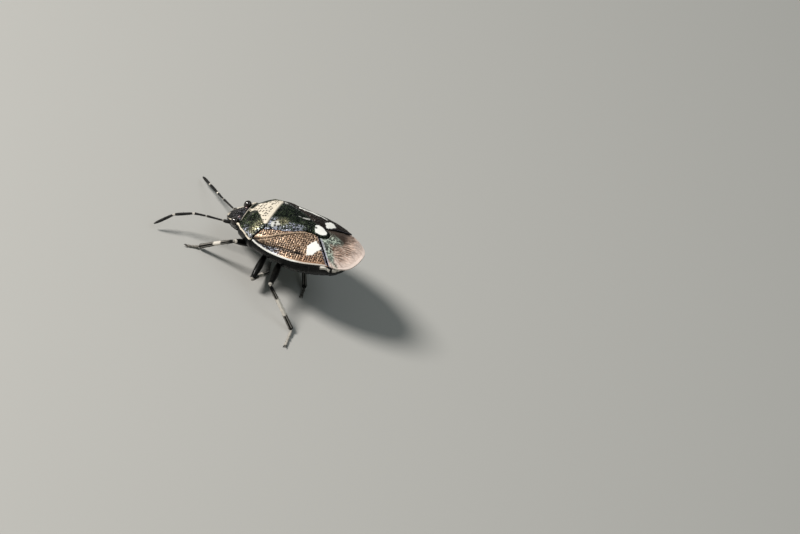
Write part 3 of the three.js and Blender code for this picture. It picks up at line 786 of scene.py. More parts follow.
def make_pronotum():
    s, v = grid(even(0, 1, 140), even_to_edges(281))
    x = mix(rear_edge(v * 1.66), front_edge(v * 0.9), s)
    y = v * shield_side(s)
    smooth = back(x, y)
    arc = across_arc(y, smooth)
    to_side = np.minimum(arc - arc[:, :1], arc[:, -1:] - arc)
    out = np.clip(np.abs(y) / half_back(x), 0, 1)
    callus = hump(x, 1.82, 0.16) * hump(np.abs(y), 0.48, 0.26)

    # Pale markings
    corner = ease(x, 2.14, 2.24) * (1 - ease(to_side, 0.1, 0.16))
    width = np.where(y > 0, wedge_left(x), wedge_right(x)) + 0.03 * ripple(x, arc, 0.22, 0.7)
    wedge = ease(width - np.abs(y), -0.02, 0.02) * (1 - ease(x, 2.14, 2.19))
    seam = 1 - ease(to_side, 0.045, 0.07)
    collar = (0.5 + 0.45 * hump(y, 0.12, 0.3)) * hump(x - front_edge(y), -0.04, 0.026)
    collar = collar * (1 - ease(np.abs(y), 0.6, 0.8))
    cream = np.maximum.reduce([wedge, seam, corner, collar])

    # Punctures
    pitted = (1 - 0.8 * ease(callus, 0.2, 0.6)) * (1 - ease(out, 0.92, 0.95))
    pitted = pitted * (1 - 0.8 * ease(x, 2.12, 2.16)) * (1 - wedge)
    pit = pits(x, arc, *SHIELD_PITS, 3) * pitted
    small = pits(x, arc, *FINE_PITS, 8) * 0.5 * pitted
    dots = pits(x, arc, *WEDGE_DOTS, 21, loose=0.5, share=0.75) * ease(wedge, 0.5, 1) * ease(s, 0.09, 0.13)

    # Relief
    edge = np.minimum(np.minimum((1 - np.abs(v)) * shield_side(s), (1 - s) * 1.2), s * 1.2)
    relief = 0.045 * ease(out, 0.9, 1) + 0.04 * ease(x, 2.1, 2.16) - 0.03 * hump(x, 2.07, 0.035)
    relief = relief + 0.05 * corner
    relief = relief + 0.05 * callus - 0.035 * hump(x, 1.55, 0.09) * (1 - out) - 0.03 * hump(out, 0.88, 0.03)
    high = smooth + relief - 0.03 * (1 - ease(s, 0, 0.05)) - rounded(edge, 0.05)
    high = high - 0.02 * np.maximum(pit, 0.8 * dots) - 0.004 * small + 0.006 * ripple(x, arc, 0.32, 1.3)
    high = high + 0.008 * ripple(x, arc, 0.14, 2.6) * ease(callus, 0.2, 0.6)

    # Painted reflections and glints of the metallic sheen, stronger on the near side
    beside_wedge = from_line(x, np.abs(y), (1.19, 0.92), (1.44, 1.4))
    gold = 0.8 * hump(beside_wedge, 0, 0.15) * np.where(y > 0, 1, 0.3)
    shoulder = hump(to_side, 0.2, 0.12) * ease(x, 1.3, 1.42) * (1 - ease(x, 1.85, 2.0))
    behind = 0.4 * hump(x - rear_edge(y), 0.1, 0.09) * ease(np.abs(y), 0.85, 1.0)
    lilac = np.maximum(shoulder, behind) * np.where(y > 0, 1, 0.4)
    glow = pit_rims(x, arc, *SHIELD_PITS, 3) * pitted
    glow = np.maximum(glow, 0.8 * ease(ripple(x, arc, 0.17, 2.6), 0.5, 0.7) * ease(callus, 0.3, 0.6))
    marks = on_top(cream=cream, pit=np.maximum.reduce([pit, small, 0.95 * dots]), gold=gold, lilac=lilac,
                   glow=glow ** 2.6)
    plate("pronotum_shell", closed_sheet(x, y, high, smooth - PLATE), SHIELD, marks, "shell", "pronotum")


APEX_SPOT = [(-1.05, -0.14), (-1.1, 0.0), (-1.22, 0.27), (-1.45, 0.26), (-1.61, 0.19), (-1.7, 0.08),
             (-1.67, -0.08), (-1.38, -0.3), (-1.2, -0.34)]
PATCH_DOTS = [(0.554, 0.741), (0.513, 0.889), (0.372, 0.859), (0.4, 0.62), (0.27, 0.56)]


def make_scutellum():
    s, v = grid(even(0, 1, 200), even_to_edges(141))
    x = mix(SCUTELLUM_TIP, rear_edge(v * 1.24) - GAP, s)
    y = v * scutellum_side(mix(SCUTELLUM_TIP, SCUTELLUM_ROOT, s))
    smooth = back(x, y)
    arc = across_arc(y, smooth)

    # Pale markings
    wobble = 0.03 * ripple(x, arc, 0.2, 0.4)
    apex = inside(x + 0.5 * wobble, y, APEX_SPOT) * (1 - hump(np.hypot(x + 1.14, y + 0.03), 0, 0.06))
    patch = near_line(x + wobble, y + 1.4 * wobble, (0.59, 0.84), (0.47, 0.74), 0.155)
    far_patch = near_line(x + wobble, y, (0.8, -1.0), (0.72, -0.88), 0.07)
    streak = near_line(x, y + 0.5 * wobble, (-0.42, -0.29), (-0.64, -0.35), 0.062)
    tail = near_line(x, y + 0.5 * wobble, (-0.16, -0.26), (-0.42, -0.28), 0.022)
    worn = 0.72 + 0.28 * ripple(x, arc, 0.1, 2.2)
    cream = np.maximum.reduce([0.7 * patch, 0.6 * far_patch, 0.75 * worn * streak, 0.5 * worn * tail, apex])

    # Punctures
    pitted = (1 - ease(np.abs(v), 0.93, 0.97)) * (1 - apex) * (1 - 0.8 * streak)
    pit = pits(x, arc, *SHIELD_PITS, 5) * pitted
    small = pits(x, arc, *FINE_PITS, 18) * 0.5 * pitted
    dots = sum(1.6 * hump(np.hypot(x - at, 0.8 * (y - out)), 0, 0.045) for at, out in PATCH_DOTS)
    pit = np.maximum(pit * (1 - patch), np.clip(dots, 0, 1))

    # Relief
    edge = np.minimum((1 - np.abs(v)) * scutellum_side(x), x - SCUTELLUM_TIP)
    edge = np.minimum(edge, (1 - s) * 2.6)
    high = smooth + 0.035 + 0.03 * hump(x, 0.5, 0.3) * (1 - v * v) - 0.05 * ease(np.abs(v), 0.8, 1)
    high = high - 0.05 * (1 - ease(x, SCUTELLUM_TIP, -1.67)) - rounded(edge, 0.04) - 0.02 * pit
    high = high - 0.004 * small
    high = high + 0.008 * ripple(x, arc, 0.34, 2.1)

    # Painted reflections and glints of the metallic sheen, stronger on the near side
    lilac = 0.95 * ease(v, 0.3, 0.5) * ease(x, -0.9, -0.5) + 0.3 * hump(v, -0.87, 0.06) * ease(x, -1.0, -0.7)
    gold = np.clip(1.5 * hump(from_line(x, y, (0.44, 0.66), (0.2, 0.47)), 0, 0.16), 0, 1)
    glow = pit_rims(x, arc, *SHIELD_PITS, 5) * pitted * mix(0.6, 1.0, ease(v, -0.2, 0.4))
    marks = on_top(cream=cream, pit=np.maximum(pit, small * (1 - patch)), lilac=lilac * (1 - gold),
                   gold=gold, glow=glow ** 2.2)
    plate("scutellum_shell", closed_sheet(x, y, high, smooth - PLATE), SCUTE, marks, "shell", "scutellum")


NEAR_SPOT = [(-1.45, 0.66), (-1.21, 1.08), (-1.28, 1.3), (-1.38, 1.46), (-1.62, 1.31), (-1.83, 0.86),
             (-1.75, 0.78)]
FAR_SPOT = [(-1.5, 0.47), (-1.27, 0.82), (-1.4, 1.25), (-1.55, 1.27), (-1.78, 1.0), (-1.68, 0.66)]


claval_line = profile([(-0.95, 0.47), (-0.345, 0.857), (0.205, 1.21), (0.6, 1.44), (0.95, 1.53)])


def make_corium(name, side):
    near = side > 0
    s, v = grid(even(0, 1, 240), even(0, 1, 100))
    inner_x = mix(CORIUM_INNER[0], SCUTELLUM_ROOT - GAP, s)
    inner_y = scutellum_side(inner_x) + GAP
    front_y = mix(scutellum_side(SCUTELLUM_ROOT) + GAP, 1.63, v)
    rear_x = mix(CORIUM_INNER[0], CORIUM_OUTER[0], v) - 0.06 * np.sin(math.pi * v)
    x = mix(rear_x, rear_edge(front_y) - GAP, s)
    out = mix(inner_y, half_back(x), v)
    smooth = back(x, out)
    arc = across_arc(out, smooth)
    to_side = arc[:, -1:] - arc
    wobble = 0.02 * ripple(x, arc, 0.25, 0.9) + 0.028 * ripple(x, arc, 0.085, 1.9)
    shake = 0.02 * ripple(x, arc, 0.2, 2.3) + 0.03 * ripple(x, arc, 0.07, 0.6)
    spot = inside(x + wobble, out + shake, NEAR_SPOT if near else FAR_SPOT)
    streak = np.zeros_like(x) if near else near_line(x, out, (0.08, 1.2), (-1.1, 1.42), 0.13)

    # Lines of the wing: the claval ridge and its suture, a vein, and the furrow along the outer margin
    from_clavus = out - claval_line(x)
    on_clavus = ease(x, -0.95, -0.8)
    ridge_line = hump(from_clavus, 0, 0.032) * on_clavus
    suture = hump(from_clavus, 0.062, 0.022) * on_clavus
    second_ridge = hump(from_clavus, 0.12, 0.02) * ease(x, 0.15, 0.45)
    vein = hump(v, 0.55 - 0.1 * s, 0.025) * ease(s, 0.1, 0.2) * (1 - ease(x, -0.6, -0.2))
    furrow_v = mix(0.73, 0.9, ease(x, -0.2, 1.0))
    furrow = hump(v, furrow_v, 0.035) * ease(x, -1.6, -1.2)
    beyond = ease(v - furrow_v, 0, 0.05)

    # Punctures
    clear = np.maximum.reduce([0.85 * ridge_line, 0.8 * second_ridge, 0.5 * vein, spot, streak])
    pitted = (1 - clear) * ease(to_side, 0.08, 0.13)
    seed = 6 if near else 7
    pit = pits(x, arc, *WING_PITS, seed, loose=WING_LOOSE) * pitted
    small = pits(x, arc, *WING_FINE_PITS, 12) * 0.5 * pitted

    # Relief
    edge = np.minimum(np.minimum((1 - v) * 0.9, v * 0.9), np.minimum((1 - s) * 2.4, s * 2.4))
    high = smooth + 0.03 * ridge_line + 0.02 * second_ridge - 0.03 * suture - 0.03 * furrow + 0.02 * vein
    high = high + 0.03 * ease(v, 0.9, 1) - 0.02 * (1 - ease(s, 0, 0.08)) - rounded(edge, 0.035)
    high = high - 0.02 * pit - 0.005 * small + 0.008 * spot + 0.006 * ripple(x, arc, 0.3, 1.7)

    # Colours, with painted shade, sheen, reflections and highlights
    edge_width = mix(0.04, 0.066, ease(x, -1.9, 0.6))
    line = ease(edge_width - to_side, -0.015, 0.015) * ease(x, -2.4, -2.25)
    line = line * mix(0.65, 1, ease(x, -1.3, -0.9))
    # Darker in the furrow and the suture: painted shade in these creases. Also darker beyond the furrow, in
    # a band before it and in uneven patches
    dark = 0.85 * hump(v, furrow_v, 0.05) * ease(x, -1.4, -1.0) + 0.9 * beyond * ease(x, -0.35, 0.15)
    dark = dark + 0.45 * hump(v, furrow_v - 0.13, 0.08) * ease(x, -0.6, 0.4) + 0.6 * suture
    dark = dark + 0.3 * ease(ripple(x, arc, 0.4, 3.3), 0, 0.8)
    # Painted highlights on pit rims and ridges, a painted lilac reflection beyond the furrow, a painted
    # copper sheen and a painted highlight along the rear edge
    glow = pit_rims(x, arc, *WING_PIT_RIMS, seed, loose=WING_LOOSE) * pitted
    glow = np.maximum.reduce([glow, 0.9 * ridge_line, 0.8 * second_ridge])
    lilac = 0.7 * beyond * ease(x, -0.5, 0.05)
    copper = 0.5 * ease(-x, 0.95, 1.35) * ease(v, 0.66, 0.8)
    copper = np.maximum(copper, 0.5 * (1 - ease(v, 0.03, 0.08)) * ease(x, -0.6, -0.2))
    edge_line = 0.85 * (1 - ease(s, 0.012, 0.03)) * (1 - ease(v, 0.93, 1))
    if not near:
        # Painted shade: the far wing, seen nearly edge-on, is painted almost black and loses most of its
        # painted highlights, reflections and sheen
        glow, lilac, copper = 0.05 * glow, 0.1 * lilac, np.zeros_like(x)
        dark, edge_line, ridge_line = np.full_like(x, 0.97), 0.12 * edge_line, 0.05 * ridge_line
    marks = on_top(cream=np.maximum.reduce([spot, line, 0.9 * streak]), pit=np.maximum(pit, small),
                   lilac=lilac, dark=np.clip(dark, 0, 1) * (1 - ridge_line), copper=copper,
                   edge=edge_line, glow=glow)
    sheet = closed_sheet(x, out * side, high, smooth - PLATE)
    plate("corium_shell_" + name, sheet, BRONZE, marks, "wing", "corium_" + name)


def corium_rear(y):
    share = (y - CORIUM_INNER[1]) / (CORIUM_OUTER[1] - CORIUM_INNER[1])
    return mix(CORIUM_INNER[0], CORIUM_OUTER[0], share)


membrane_reach = profile([(0, SCUTELLUM_TIP), (0.2, -1.74), (0.29, -1.6), (0.36, -1.43)])
VEINS = 7


def make_membrane(name, low_v, high_v, sink):
    """Wing film. Here s runs from its front to its rear rim."""
    s, v = grid(even(0, 1, 110), even(low_v, high_v, 180 if name == "left" else 120))
    half = WING_TIP["half"]
    y0 = v * half * 0.985
    out = np.abs(y0)
    under_plates = out > CORIUM_INNER[1]
    front = np.where(under_plates, corium_rear(out) - 0.075 - GAP, membrane_reach(out) - 0.04 - GAP)
    turn = v * math.pi * 0.49
    x = mix(front, WING_TIP["centre"] - 0.96 * WING_TIP["length"] * np.cos(turn), s)
    y = mix(y0, 0.94 * half * np.sin(turn), s)
    behind = front - x

    # Relief: veins and flutter
    fan = v + 0.05 * np.sin(4 * s + 2 * v) + 0.02 * ripple(x, y, 0.5, 0.9)
    vein = np.abs(np.cos(fan * VEINS * math.pi)) ** 14 * ease(s, 0.05, 0.16) * (1 - ease(s, 0.78, 0.95))
    cross_vein = hump(s, 0.12 + 0.03 * np.sin(9 * v), 0.018) * 0.8
    raised = np.maximum(vein, cross_vein)
    flutter = 0.01 * ripple(x, y, 0.5, 0.6) + 0.008 * ripple(x, y, 0.24, 2.2)
    high = back(x, y) - 0.05 + 0.024 * raised + flutter - sink
    low = back(x, y) - 0.105 - sink
    points, faces, _ = closed_sheet(x, y, high, low)

    # Colours
    broad = 0.62 * ease(s + 0.05 * ripple(x, y, 0.3, 2.4), 0.6, 0.88)
    outer = ease(v, 0.42, 0.72) * ease(s, 0.12, 0.45) * (0.78 + 0.22 * ripple(x, y, 0.3, 2.9))
    rim = np.maximum.reduce([ease(s, 0.88, 0.95), ease(np.abs(v), 0.86, 0.93), broad, outer])
    root = (1 - ease(behind + 0.08 * ripple(x, y, 0.3, 0.2), 0.38, 0.74)) * (1 - 0.8 * ease(v, 0.72, 0.9))
    # Darker on the far half and beside the far wing: painted shade. The patch in the middle is a dark
    # marking
    smoke = 0.92 * ease(-y, -0.1, 0.3) * (1 - ease(-x, 2.25, 2.8))
    smoke = smoke + 0.6 * hump(np.hypot(x + 2.4, (y + 0.12) * 0.8), 0, 0.3)
    smoke = np.maximum(smoke, (1 - ease(behind, 0.1, 0.4)) * ease(-y, 0.1, 0.35))
    sheared = v + 0.5 * s + 0.03 * ripple(x, y, 0.45, 1.1)
    uneven = 0.6 + 0.4 * ripple(x, y, 0.35, 1.6)
    streak = 0.95 * np.abs(np.cos(sheared * 1.7 * VEINS * math.pi)) ** 2.5 * ease(s, 0.15, 0.35)
    streak = streak * np.clip(1.4 * uneven, 0, 1)
    # Painted highlight line along the front edge, on the near wing only
    line = mix(0.4, 0.9, ease(y, 0.6, 1.2)) * (1 - ease(s, 0.04, 0.08)) * under_plates * (y > 0)
    marks = {"vein": np.maximum(vein * 0.3, streak * (1 - 0.7 * rim)), "rim": 0.9 * rim * (1 - 0.4 * vein),
             "root": 0.92 * root * ease(y, -0.5, 0.1), "smoke": np.clip(smoke, 0, 0.97) * (1 - rim),
             "edge": line}
    marks = {key: both(values) for key, values in marks.items()}
    piece = finish_piece("membrane_film_" + name, points, faces, [FILM], marks)
    settle(piece, "membrane", "membrane_" + name)


# Head, eyes and beak
HEAD_ROOT = 2.3
HEAD_TIP = 3.17
head_side = profile([(HEAD_ROOT, 0.7), (2.5, 0.72), (2.68, 0.63), (2.83, 0.53), (2.95, 0.44),
                     (3.05, 0.33), (3.12, 0.21), (HEAD_TIP, 0.07)])
head_ridge = profile([(2.3, 1.44), (2.55, 1.42), (2.8, 1.3), (3.0, 1.15), (3.17, 1.02)])
head_rim = profile([(2.3, 1.22), (2.6, 1.2), (2.9, 1.1), (3.17, 0.97)])
head_keel = profile([(2.3, 0.58), (2.6, 0.52), (2.9, 0.55), (3.05, 0.68), (3.17, 0.88)])


def make_head():
    s, v = grid(1 - (1 - even(0, 1, 130)) ** 1.25, even_to_edges(151))
    x = mix(HEAD_ROOT, HEAD_TIP, s)
    y = v * head_side(x)
    out = np.abs(v)
    dome = head_ridge(x) - (head_ridge(x) - head_rim(x)) * out ** 2.2
    arc = across_arc(y, dome)
    nose = ease(x, 2.58, 2.72)
    groove = hump(np.abs(y), 0.15 - 0.02 * s, 0.022) * nose * (1 - ease(x, 3.06, 3.12))
    lobes = 0.022 * hump(y, 0, 0.09) * nose + 0.05 * ease(out, 0.84, 0.97) * ease(x, 2.58, 2.7)
    lobes = lobes - 0.02 * hump(out, 0.78, 0.08) * nose
    pit = pits(x * 1.25, arc, *HEAD_PITS, 4) * (1 - ease(out, 0.88, 0.93)) * (1 - 0.5 * groove)
    wrinkle = np.sin(arc * 120 + 3 * np.sin(x * 22)) * hump(np.abs(y), 0.32, 0.12) * nose
    edge = np.minimum((1 - out) * head_side(x), (1 - s) * 0.87)
    high = dome + lobes - 0.03 * groove - 0.011 * pit + 0.0035 * wrinkle
    high = high + 0.003 * ripple(x, arc, 0.2, 1.1) - rounded(edge, 0.02)
    low = head_rim(x) - 0.05
    low = low - (low - head_keel(x)) * (1 - out ** 2.4) ** 0.8
    low = low + 0.004 * ripple(x, arc, 0.22, 0.3) - 0.012 * hump(np.abs(y), 0.13, 0.02) * nose
    # The pale tip is a painted highlight, as are the lilac on the crown and the glints on the pit rims; the
    # margin lines are pale markings
    margin_line = ease(out, 0.87, 0.92) * ease(x, 2.6, 2.68) * (1 - 0.7 * ease(x, 2.86, 2.93))
    tip = 0.8 * ease(x, 3.03, 3.08) * (1 - ease(np.abs(y), 0.1, 0.15))
    vertex = 0.3 * hump(x, 2.42, 0.1) * (hump(y, 0.08, 0.1) + hump(np.abs(y), 0.42, 0.12))
    marks = on_top(cream=0.9 * np.maximum(margin_line, tip), pit=pit, lilac=vertex,
                   glow=pit_rims(x * 1.25, arc, *HEAD_PITS, 4) ** 3 * (1 - groove))
    plate("head_capsule", closed_sheet(x, y, high, low), CROWN, marks, "shell", "head")


def ball(name, at, half, materials, across=48, high=32):
    """Bulging eye as a fine ellipsoid."""
    up, turn = grid(even(0, math.pi, high)[1:-1], full_turn(across))
    shape = np.stack([np.sin(up) * np.cos(turn), np.sin(up) * np.sin(turn), np.cos(up)], -1).reshape(-1, 3)
    shape = np.concatenate([shape, [[0, 0, 1], [0, 0, -1]]])
    points = shape * np.array(half) + np.array(at)
    rings = high - 2
    faces = grid_faces(rings, across, closed=True)
    top, foot = rings * across, rings * across + 1
    for j in range(across):
        k = (j + 1) % across
        faces.append([top, j, k])
        faces.append([foot, (rings - 1) * across + k, (rings - 1) * across + j])
    return finish_piece(name, points, faces, materials, crease=180)


def mirrored(point, side):
    return (point[0], point[1] * side, point[2])


def make_beak():
    under_body = [(x, 0, float(keel(x)) - drop) for x, drop in ((2.25, 0.12), (1.6, 0.11), (0.85, 0.1))]
    line = [(2.95, 0, 0.5), (2.7, 0, 0.4), *under_body]
    girth = [(0, 0.075), (0.2, 0.085), (0.5, 0.065), (0.75, 0.055), (0.95, 0.035), (1, 0.02)]
    joints = (0.24, 0.52, 0.77)

    def shape(share, turn):
        waist = sum(hump(share, joint, 0.012) for joint in joints)
        return (1 - 0.22 * waist) * (1 - 0.2 * hump(np.abs(turn - 1.5 * math.pi), 0, 0.22))

    points, faces, marks = tube(line, girth, 28, 120, shape)
    marks["cream"] = 0.35 * sum(hump(marks["run"], joint, 0.01) for joint in joints)
    piece = haired("beak", [(points, faces, marks)], [LIMB, DOWN], [(50, 0.035, 0.0025, 1.2, 1)], 71)
    settle(piece, "limb", "rostrum")


# Feelers
ANTENNA_JOINTS = {
    "left": [(2.8, 0.53, 1.0), (3.11, 0.7, 1.11), (3.834, 0.998, 1.275),
             (4.36, 1.228, 1.362), (5.13, 1.71, 1.305), (5.8, 2.39, 0.96)],
    "right": [(2.8, -0.53, 1.0), (3.12, -0.6, 0.92), (3.825, -0.986, 0.967),
              (4.256, -1.333, 0.915), (4.887, -1.858, 0.838), (5.456, -2.302, 0.799)],
}
ANTENNA_GIRTH = [
    [(0, 0.06), (0.3, 0.078), (0.8, 0.078), (1, 0.05)],
    [(0, 0.033), (0.12, 0.04), (0.6, 0.045), (0.93, 0.054), (1, 0.038)],
    [(0, 0.033), (0.12, 0.042), (0.6, 0.047), (0.92, 0.058), (1, 0.038)],
    [(0, 0.033), (0.1, 0.05), (0.4, 0.064), (0.85, 0.064), (1, 0.04)],
    [(0, 0.033), (0.1, 0.054), (0.4, 0.068), (0.75, 0.062), (0.93, 0.04), (1, 0.018)],
]
PALE_ROOT = [0.0, 0.3, 0.35, 1.0, 0.7]
PALE_END = [0.2, 0.3, 1.0, 0.7, 0.0]
SPARSE_HAIR = [(50, 0.05, 0.003, 1.0, 1)]
SHORT_HAIR = [(170, 0.05, 0.0028, 1.0, 1), (24, 0.085, 0.0035, 0.7, 2)]
DENSE_HAIR = [(320, 0.05, 0.0028, 1.0, 1), (40, 0.085, 0.0035, 0.7, 2)]
ANTENNA_HAIR = [SPARSE_HAIR, SHORT_HAIR, SHORT_HAIR, DENSE_HAIR, DENSE_HAIR]


def make_antenna(name):
    joints = ANTENNA_JOINTS[name]
    side_seed = 0 if name == "left" else 7
    for i, (girth, coat) in enumerate(zip(ANTENNA_GIRTH, ANTENNA_HAIR)):
        points, faces, marks = tube([joints[i], joints[i + 1]], girth, 26, 70)
        run = marks["run"]
        marks["cream"] = PALE_ROOT[i] * (1 - ease(run, 0.05, 0.1)) + PALE_END[i] * ease(run, 0.94, 0.975)
        parts = [(points, faces, marks)]
        seed = 200 + 20 * i + side_seed
        piece = haired(f"feeler_{name}_{i + 1}", parts, [FEELER, DOWN, SPINE], coat, seed)
        settle(piece, "limb", f"antenna_{name}_{i + 1}")


# Legs
def on_floor(place, height):
    """Place in the trunk's frame that stands at a height over the floor."""
    rise = (height - BELLY_HEIGHT) / math.cos(NOSE_DOWN) + math.tan(NOSE_DOWN) * place[0]
    return (place[0], place[1], rise)


LEGS = {
    "fore_left": {"hip": (1.7, 0.62, 0.22), "knee": (2.08, 1.65, 0.94), "ankle": (3.731, 1.717),
                  "toe": (4.2, 2.05), "size": 0.9, "band": (0.37, 0.57), "pale_foot": 0.3},
    "mid_left": {"hip": (0.8, 0.68, 0.18), "knee": (0.87, 2.13, -0.46), "ankle": (0.704, 0.488),
                 "toe": (0.92, -0.2), "size": 0.95, "band": (0.33, 0.62), "pale_foot": 0.12},
    "hind_left": {"hip": (0.02, 0.7, 0.2), "knee": (-0.19, 2.55, -0.09), "ankle": (-1.587, 2.833),
                  "toe": (-1.745, 3.87), "size": 1, "band": (0.31, 0.67), "pale_foot": 0.5},
    "fore_right": {"hip": (1.7, -0.62, 0.22), "knee": (2.3, -1.55, 0.3), "ankle": (2.95, -2.25),
                   "toe": (3.3, -2.75), "size": 0.9, "band": (0.37, 0.57), "pale_foot": 0.12},
    "mid_right": {"hip": (0.8, -0.68, 0.18), "knee": (0.75, -2.15, 0.3), "ankle": (0.55, -3.15),
                  "toe": (0.45, -3.8), "size": 0.95, "band": (0.33, 0.62), "pale_foot": 0.12},
    "hind_right": {"hip": (0.02, -0.7, 0.2), "knee": (0.12, -2.12, -0.72), "ankle": (-0.944, -0.059),
                   "toe": (-1.02, 0.42), "size": 1, "band": (0.31, 0.67), "pale_foot": 0.12},
}


def between(a, b, share, lift=0.0):
    return (mix(a[0], b[0], share), mix(a[1], b[1], share), mix(a[2], b[2], share) + lift)


GROOVES = (0.5 * math.pi, 1.15 * math.pi, 1.85 * math.pi)


def turn_apart(turn, at):
    """Angle between two places round a limb."""
    return np.abs((turn - at + math.pi) % (2 * math.pi) - math.pi)


def grooved(share, turn):
    """Shin with its three long grooves."""
    channels = sum(hump(turn_apart(turn, at), 0, 0.3) for at in GROOVES)
    return 1 - 0.11 * channels * ease(share, 0.06, 0.14) * (1 - ease(share, 0.9, 0.97))


def thigh_joint(share, turn):
    """Narrow waist between the trochanter and the thigh."""
    return 1 - 0.1 * hump(share, 0.125, 0.012)


def make_thigh(name, leg, seed):
    hip, knee = leg["hip"], leg["knee"]
    stout = leg["size"] * 0.165
    girth = [(0, 0.075), (0.05, 0.095), (0.11, 0.1), (0.16, 0.12), (0.4, stout), (0.65, stout),
             (0.86, 0.12), (0.95, 0.115), (1, 0.06)]
    points, faces, marks = tube([hip, between(hip, knee, 0.5, 0.03), knee], girth, 30, 110, thigh_joint)
    marks["cream"] = 0.5 * ease(marks["run"] + 0.01 * np.sin(9 * points[:, 2]), 0.955, 0.97)
    coat = [(55, 0.06, 0.003, 1.5, 1)]
    piece = haired("thigh_" + name, [(points, faces, marks)], [LIMB, DOWN], coat, seed)
    settle(piece, "limb", "femur_" + name)


SHIN_GIRTH = [(0, 0.06), (0.05, 0.08), (0.12, 0.09), (0.5, 0.1), (0.85, 0.108), (0.96, 0.112), (1, 0.075)]
SHIN_HAIR = [(110, 0.075, 0.0032, 1.3, 1), (16, 0.12, 0.005, 0.9, 2)]


def make_shin(name, leg, ankle, seed):
    sides, rings = 36, 120
    line = [leg["knee"], between(leg["knee"], ankle, 0.5, 0.03), ankle]
    points, faces, marks = tube(line, SHIN_GIRTH, sides, rings, grooved)
    run = marks["run"] + 0.012 * np.sin(40 * points[:, 2] + 17 * points[:, 1])
    start, end = leg["band"]
    band = ease(run, start - 0.02, start + 0.02) * (1 - ease(run, end - 0.02, end + 0.02))
    turn = np.tile(full_turn(sides), rings)
    lips = sum(hump(np.abs(turn_apart(turn, at) - 0.45), 0, 0.13) for at in GROOVES)
    lips = 0.55 * lips * ease(run, 0.1, 0.2) * (1 - ease(run, 0.93, 0.97))
    marks["cream"] = np.clip(np.maximum(0.85 * band, lips) + 0.35 * (1 - ease(run, 0.01, 0.02)), 0, 1)
    piece = haired("shin_" + name, [(points, faces, marks)], [LIMB, DOWN, SPINE], SHIN_HAIR, seed + 100)
    settle(piece, "limb", "tibia_" + name)


def foot_lengths(ankle, toe, pale):
    """The three lengths of a foot."""
    joints = [ankle, between(ankle, toe, 0.42, -0.02), between(ankle, toe, 0.62, -0.015), toe]
    girth = [(0, 0.035), (0.2, 0.05), (0.85, 0.064), (1, 0.045)]
    lengths = []
    for start, end in zip(joints, joints[1:]):
        points, faces, marks = tube([start, end], girth, 22, 40)
        marks["cream"] = pale + 0.25 * (1 - ease(marks["run"], 0.05, 0.12))
        lengths.append((kept_above_floor(points), faces, marks))
    return lengths


def claws_and_pads(last_joint, toe):
    """Two claws at the end of a foot, with a pad inside each."""
    ahead = np.array(toe) - np.array(last_joint)
    ahead /= np.linalg.norm(ahead)
    aside = np.array([-ahead[1], ahead[0], 0])
    aside /= np.linalg.norm(aside)
    lift = np.array([0, 0, 0.02])
    root = np.array(toe) - 0.03 * ahead
    parts = []
    for side in (-1, 1):
        bend = root + 0.1 * ahead + 0.055 * side * aside + lift
        tip = root + 0.17 * ahead + 0.075 * side * aside - lift
        parts.append(tube([root, bend, tip], [(0, 0.03), (0.5, 0.022), (1, 0.007)], 14, 26))
        pad_end = root + 0.1 * ahead + 0.02 * side * aside
        pad = tube([root, (root + pad_end) / 2, pad_end], [(0, 0.02), (0.6, 0.03), (1, 0.02)], 12, 14)
        pad[2]["cream"] = np.full(len(pad[0]), 0.3)
        parts.append(pad)
    return [(kept_above_floor(points), faces, marks) for points, faces, marks in parts]


FOOT_HAIR = [(150, 0.055, 0.003, 1.2, 1), (24, 0.07, 0.005, 0.8, 2)]


def make_foot(name, leg, ankle, seed):
    toe = on_floor(leg["toe"], 0.045)
    lengths = foot_lengths(ankle, toe, leg["pale_foot"])
    claws = claws_and_pads(between(ankle, toe, 0.62, -0.015), toe)
    foot_piece = haired("tarsus_" + name, lengths, [LIMB, DOWN, SPINE], FOOT_HAIR, seed + 200)
    claw_piece = haired("claws_" + name, claws, [FEELER], [], seed + 300)
    settle(claw_piece, "limb", "foot_" + name)
    settle(foot_piece, "limb", "foot_" + name)


def make_coxa(name, leg):
    hip = leg["hip"]
    line = [(hip[0] + 0.02, hip[1] * 0.5, hip[2] + 0.1), hip]
    points, faces, _ = tube(line, [(0, 0.15), (0.3, 0.17), (0.75, 0.15), (1, 0.09)], 32, 50)
    piece = finish_piece("hip_" + name, points, faces, [BELLY], {"cream": np.zeros(len(points))})
    settle(piece, "belly", "coxa_" + name)


# Trunk below the plates, one skin from the neck to the tail
SEGMENT_ENDS = (-0.72, -1.16, -1.6, -2.02, -2.42, -2.8)
PATCH_GAP = -2.58
TAIL = -3.22
ABDOMEN_FRONT = -0.28


def trunk_side(x):
    behind = np.clip((-1.4 - x) / (-1.4 - TAIL + 0.03), 0, 1)
    tail = 1.77 * np.sqrt(1 - behind ** 2)
    body = half_back(x) - mix(0.03, 0.07, ease(x, -0.42, -0.12))
    return np.where(x < -1.4, tail, body)


def trunk_ring(x, wide, cover, rim, dent):
    """Places to the side, heights and turns of one ring of the trunk. The turn is -1 on its roof."""
    roof_y = np.concatenate([[-wide], -cover * even(1, 0, 26), cover * even(0, 1, 26)[1:], [wide]])
    roof_z = back(x, roof_y) - PLATE - GAP
    if x < ABDOMEN_FRONT:
        roof_z = mix(roof_z, rim, ease(np.abs(roof_y), cover * 0.9, cover))
        roof_z[[0, -1]] = rim - 0.03
    turn = even(0, math.pi, 104)[1:-1]
    low_y = (wide - 0.02) * np.sign(np.cos(turn)) * np.abs(np.cos(turn)) ** 0.85
    low_z = mix(roof_z[-1] - 0.06, keel(x) + dent, np.sin(turn) ** 0.9)
    turns = np.concatenate([np.full(len(roof_y), -1.0), turn])
    return np.concatenate([roof_y, low_y]), np.concatenate([roof_z, low_z]), turns


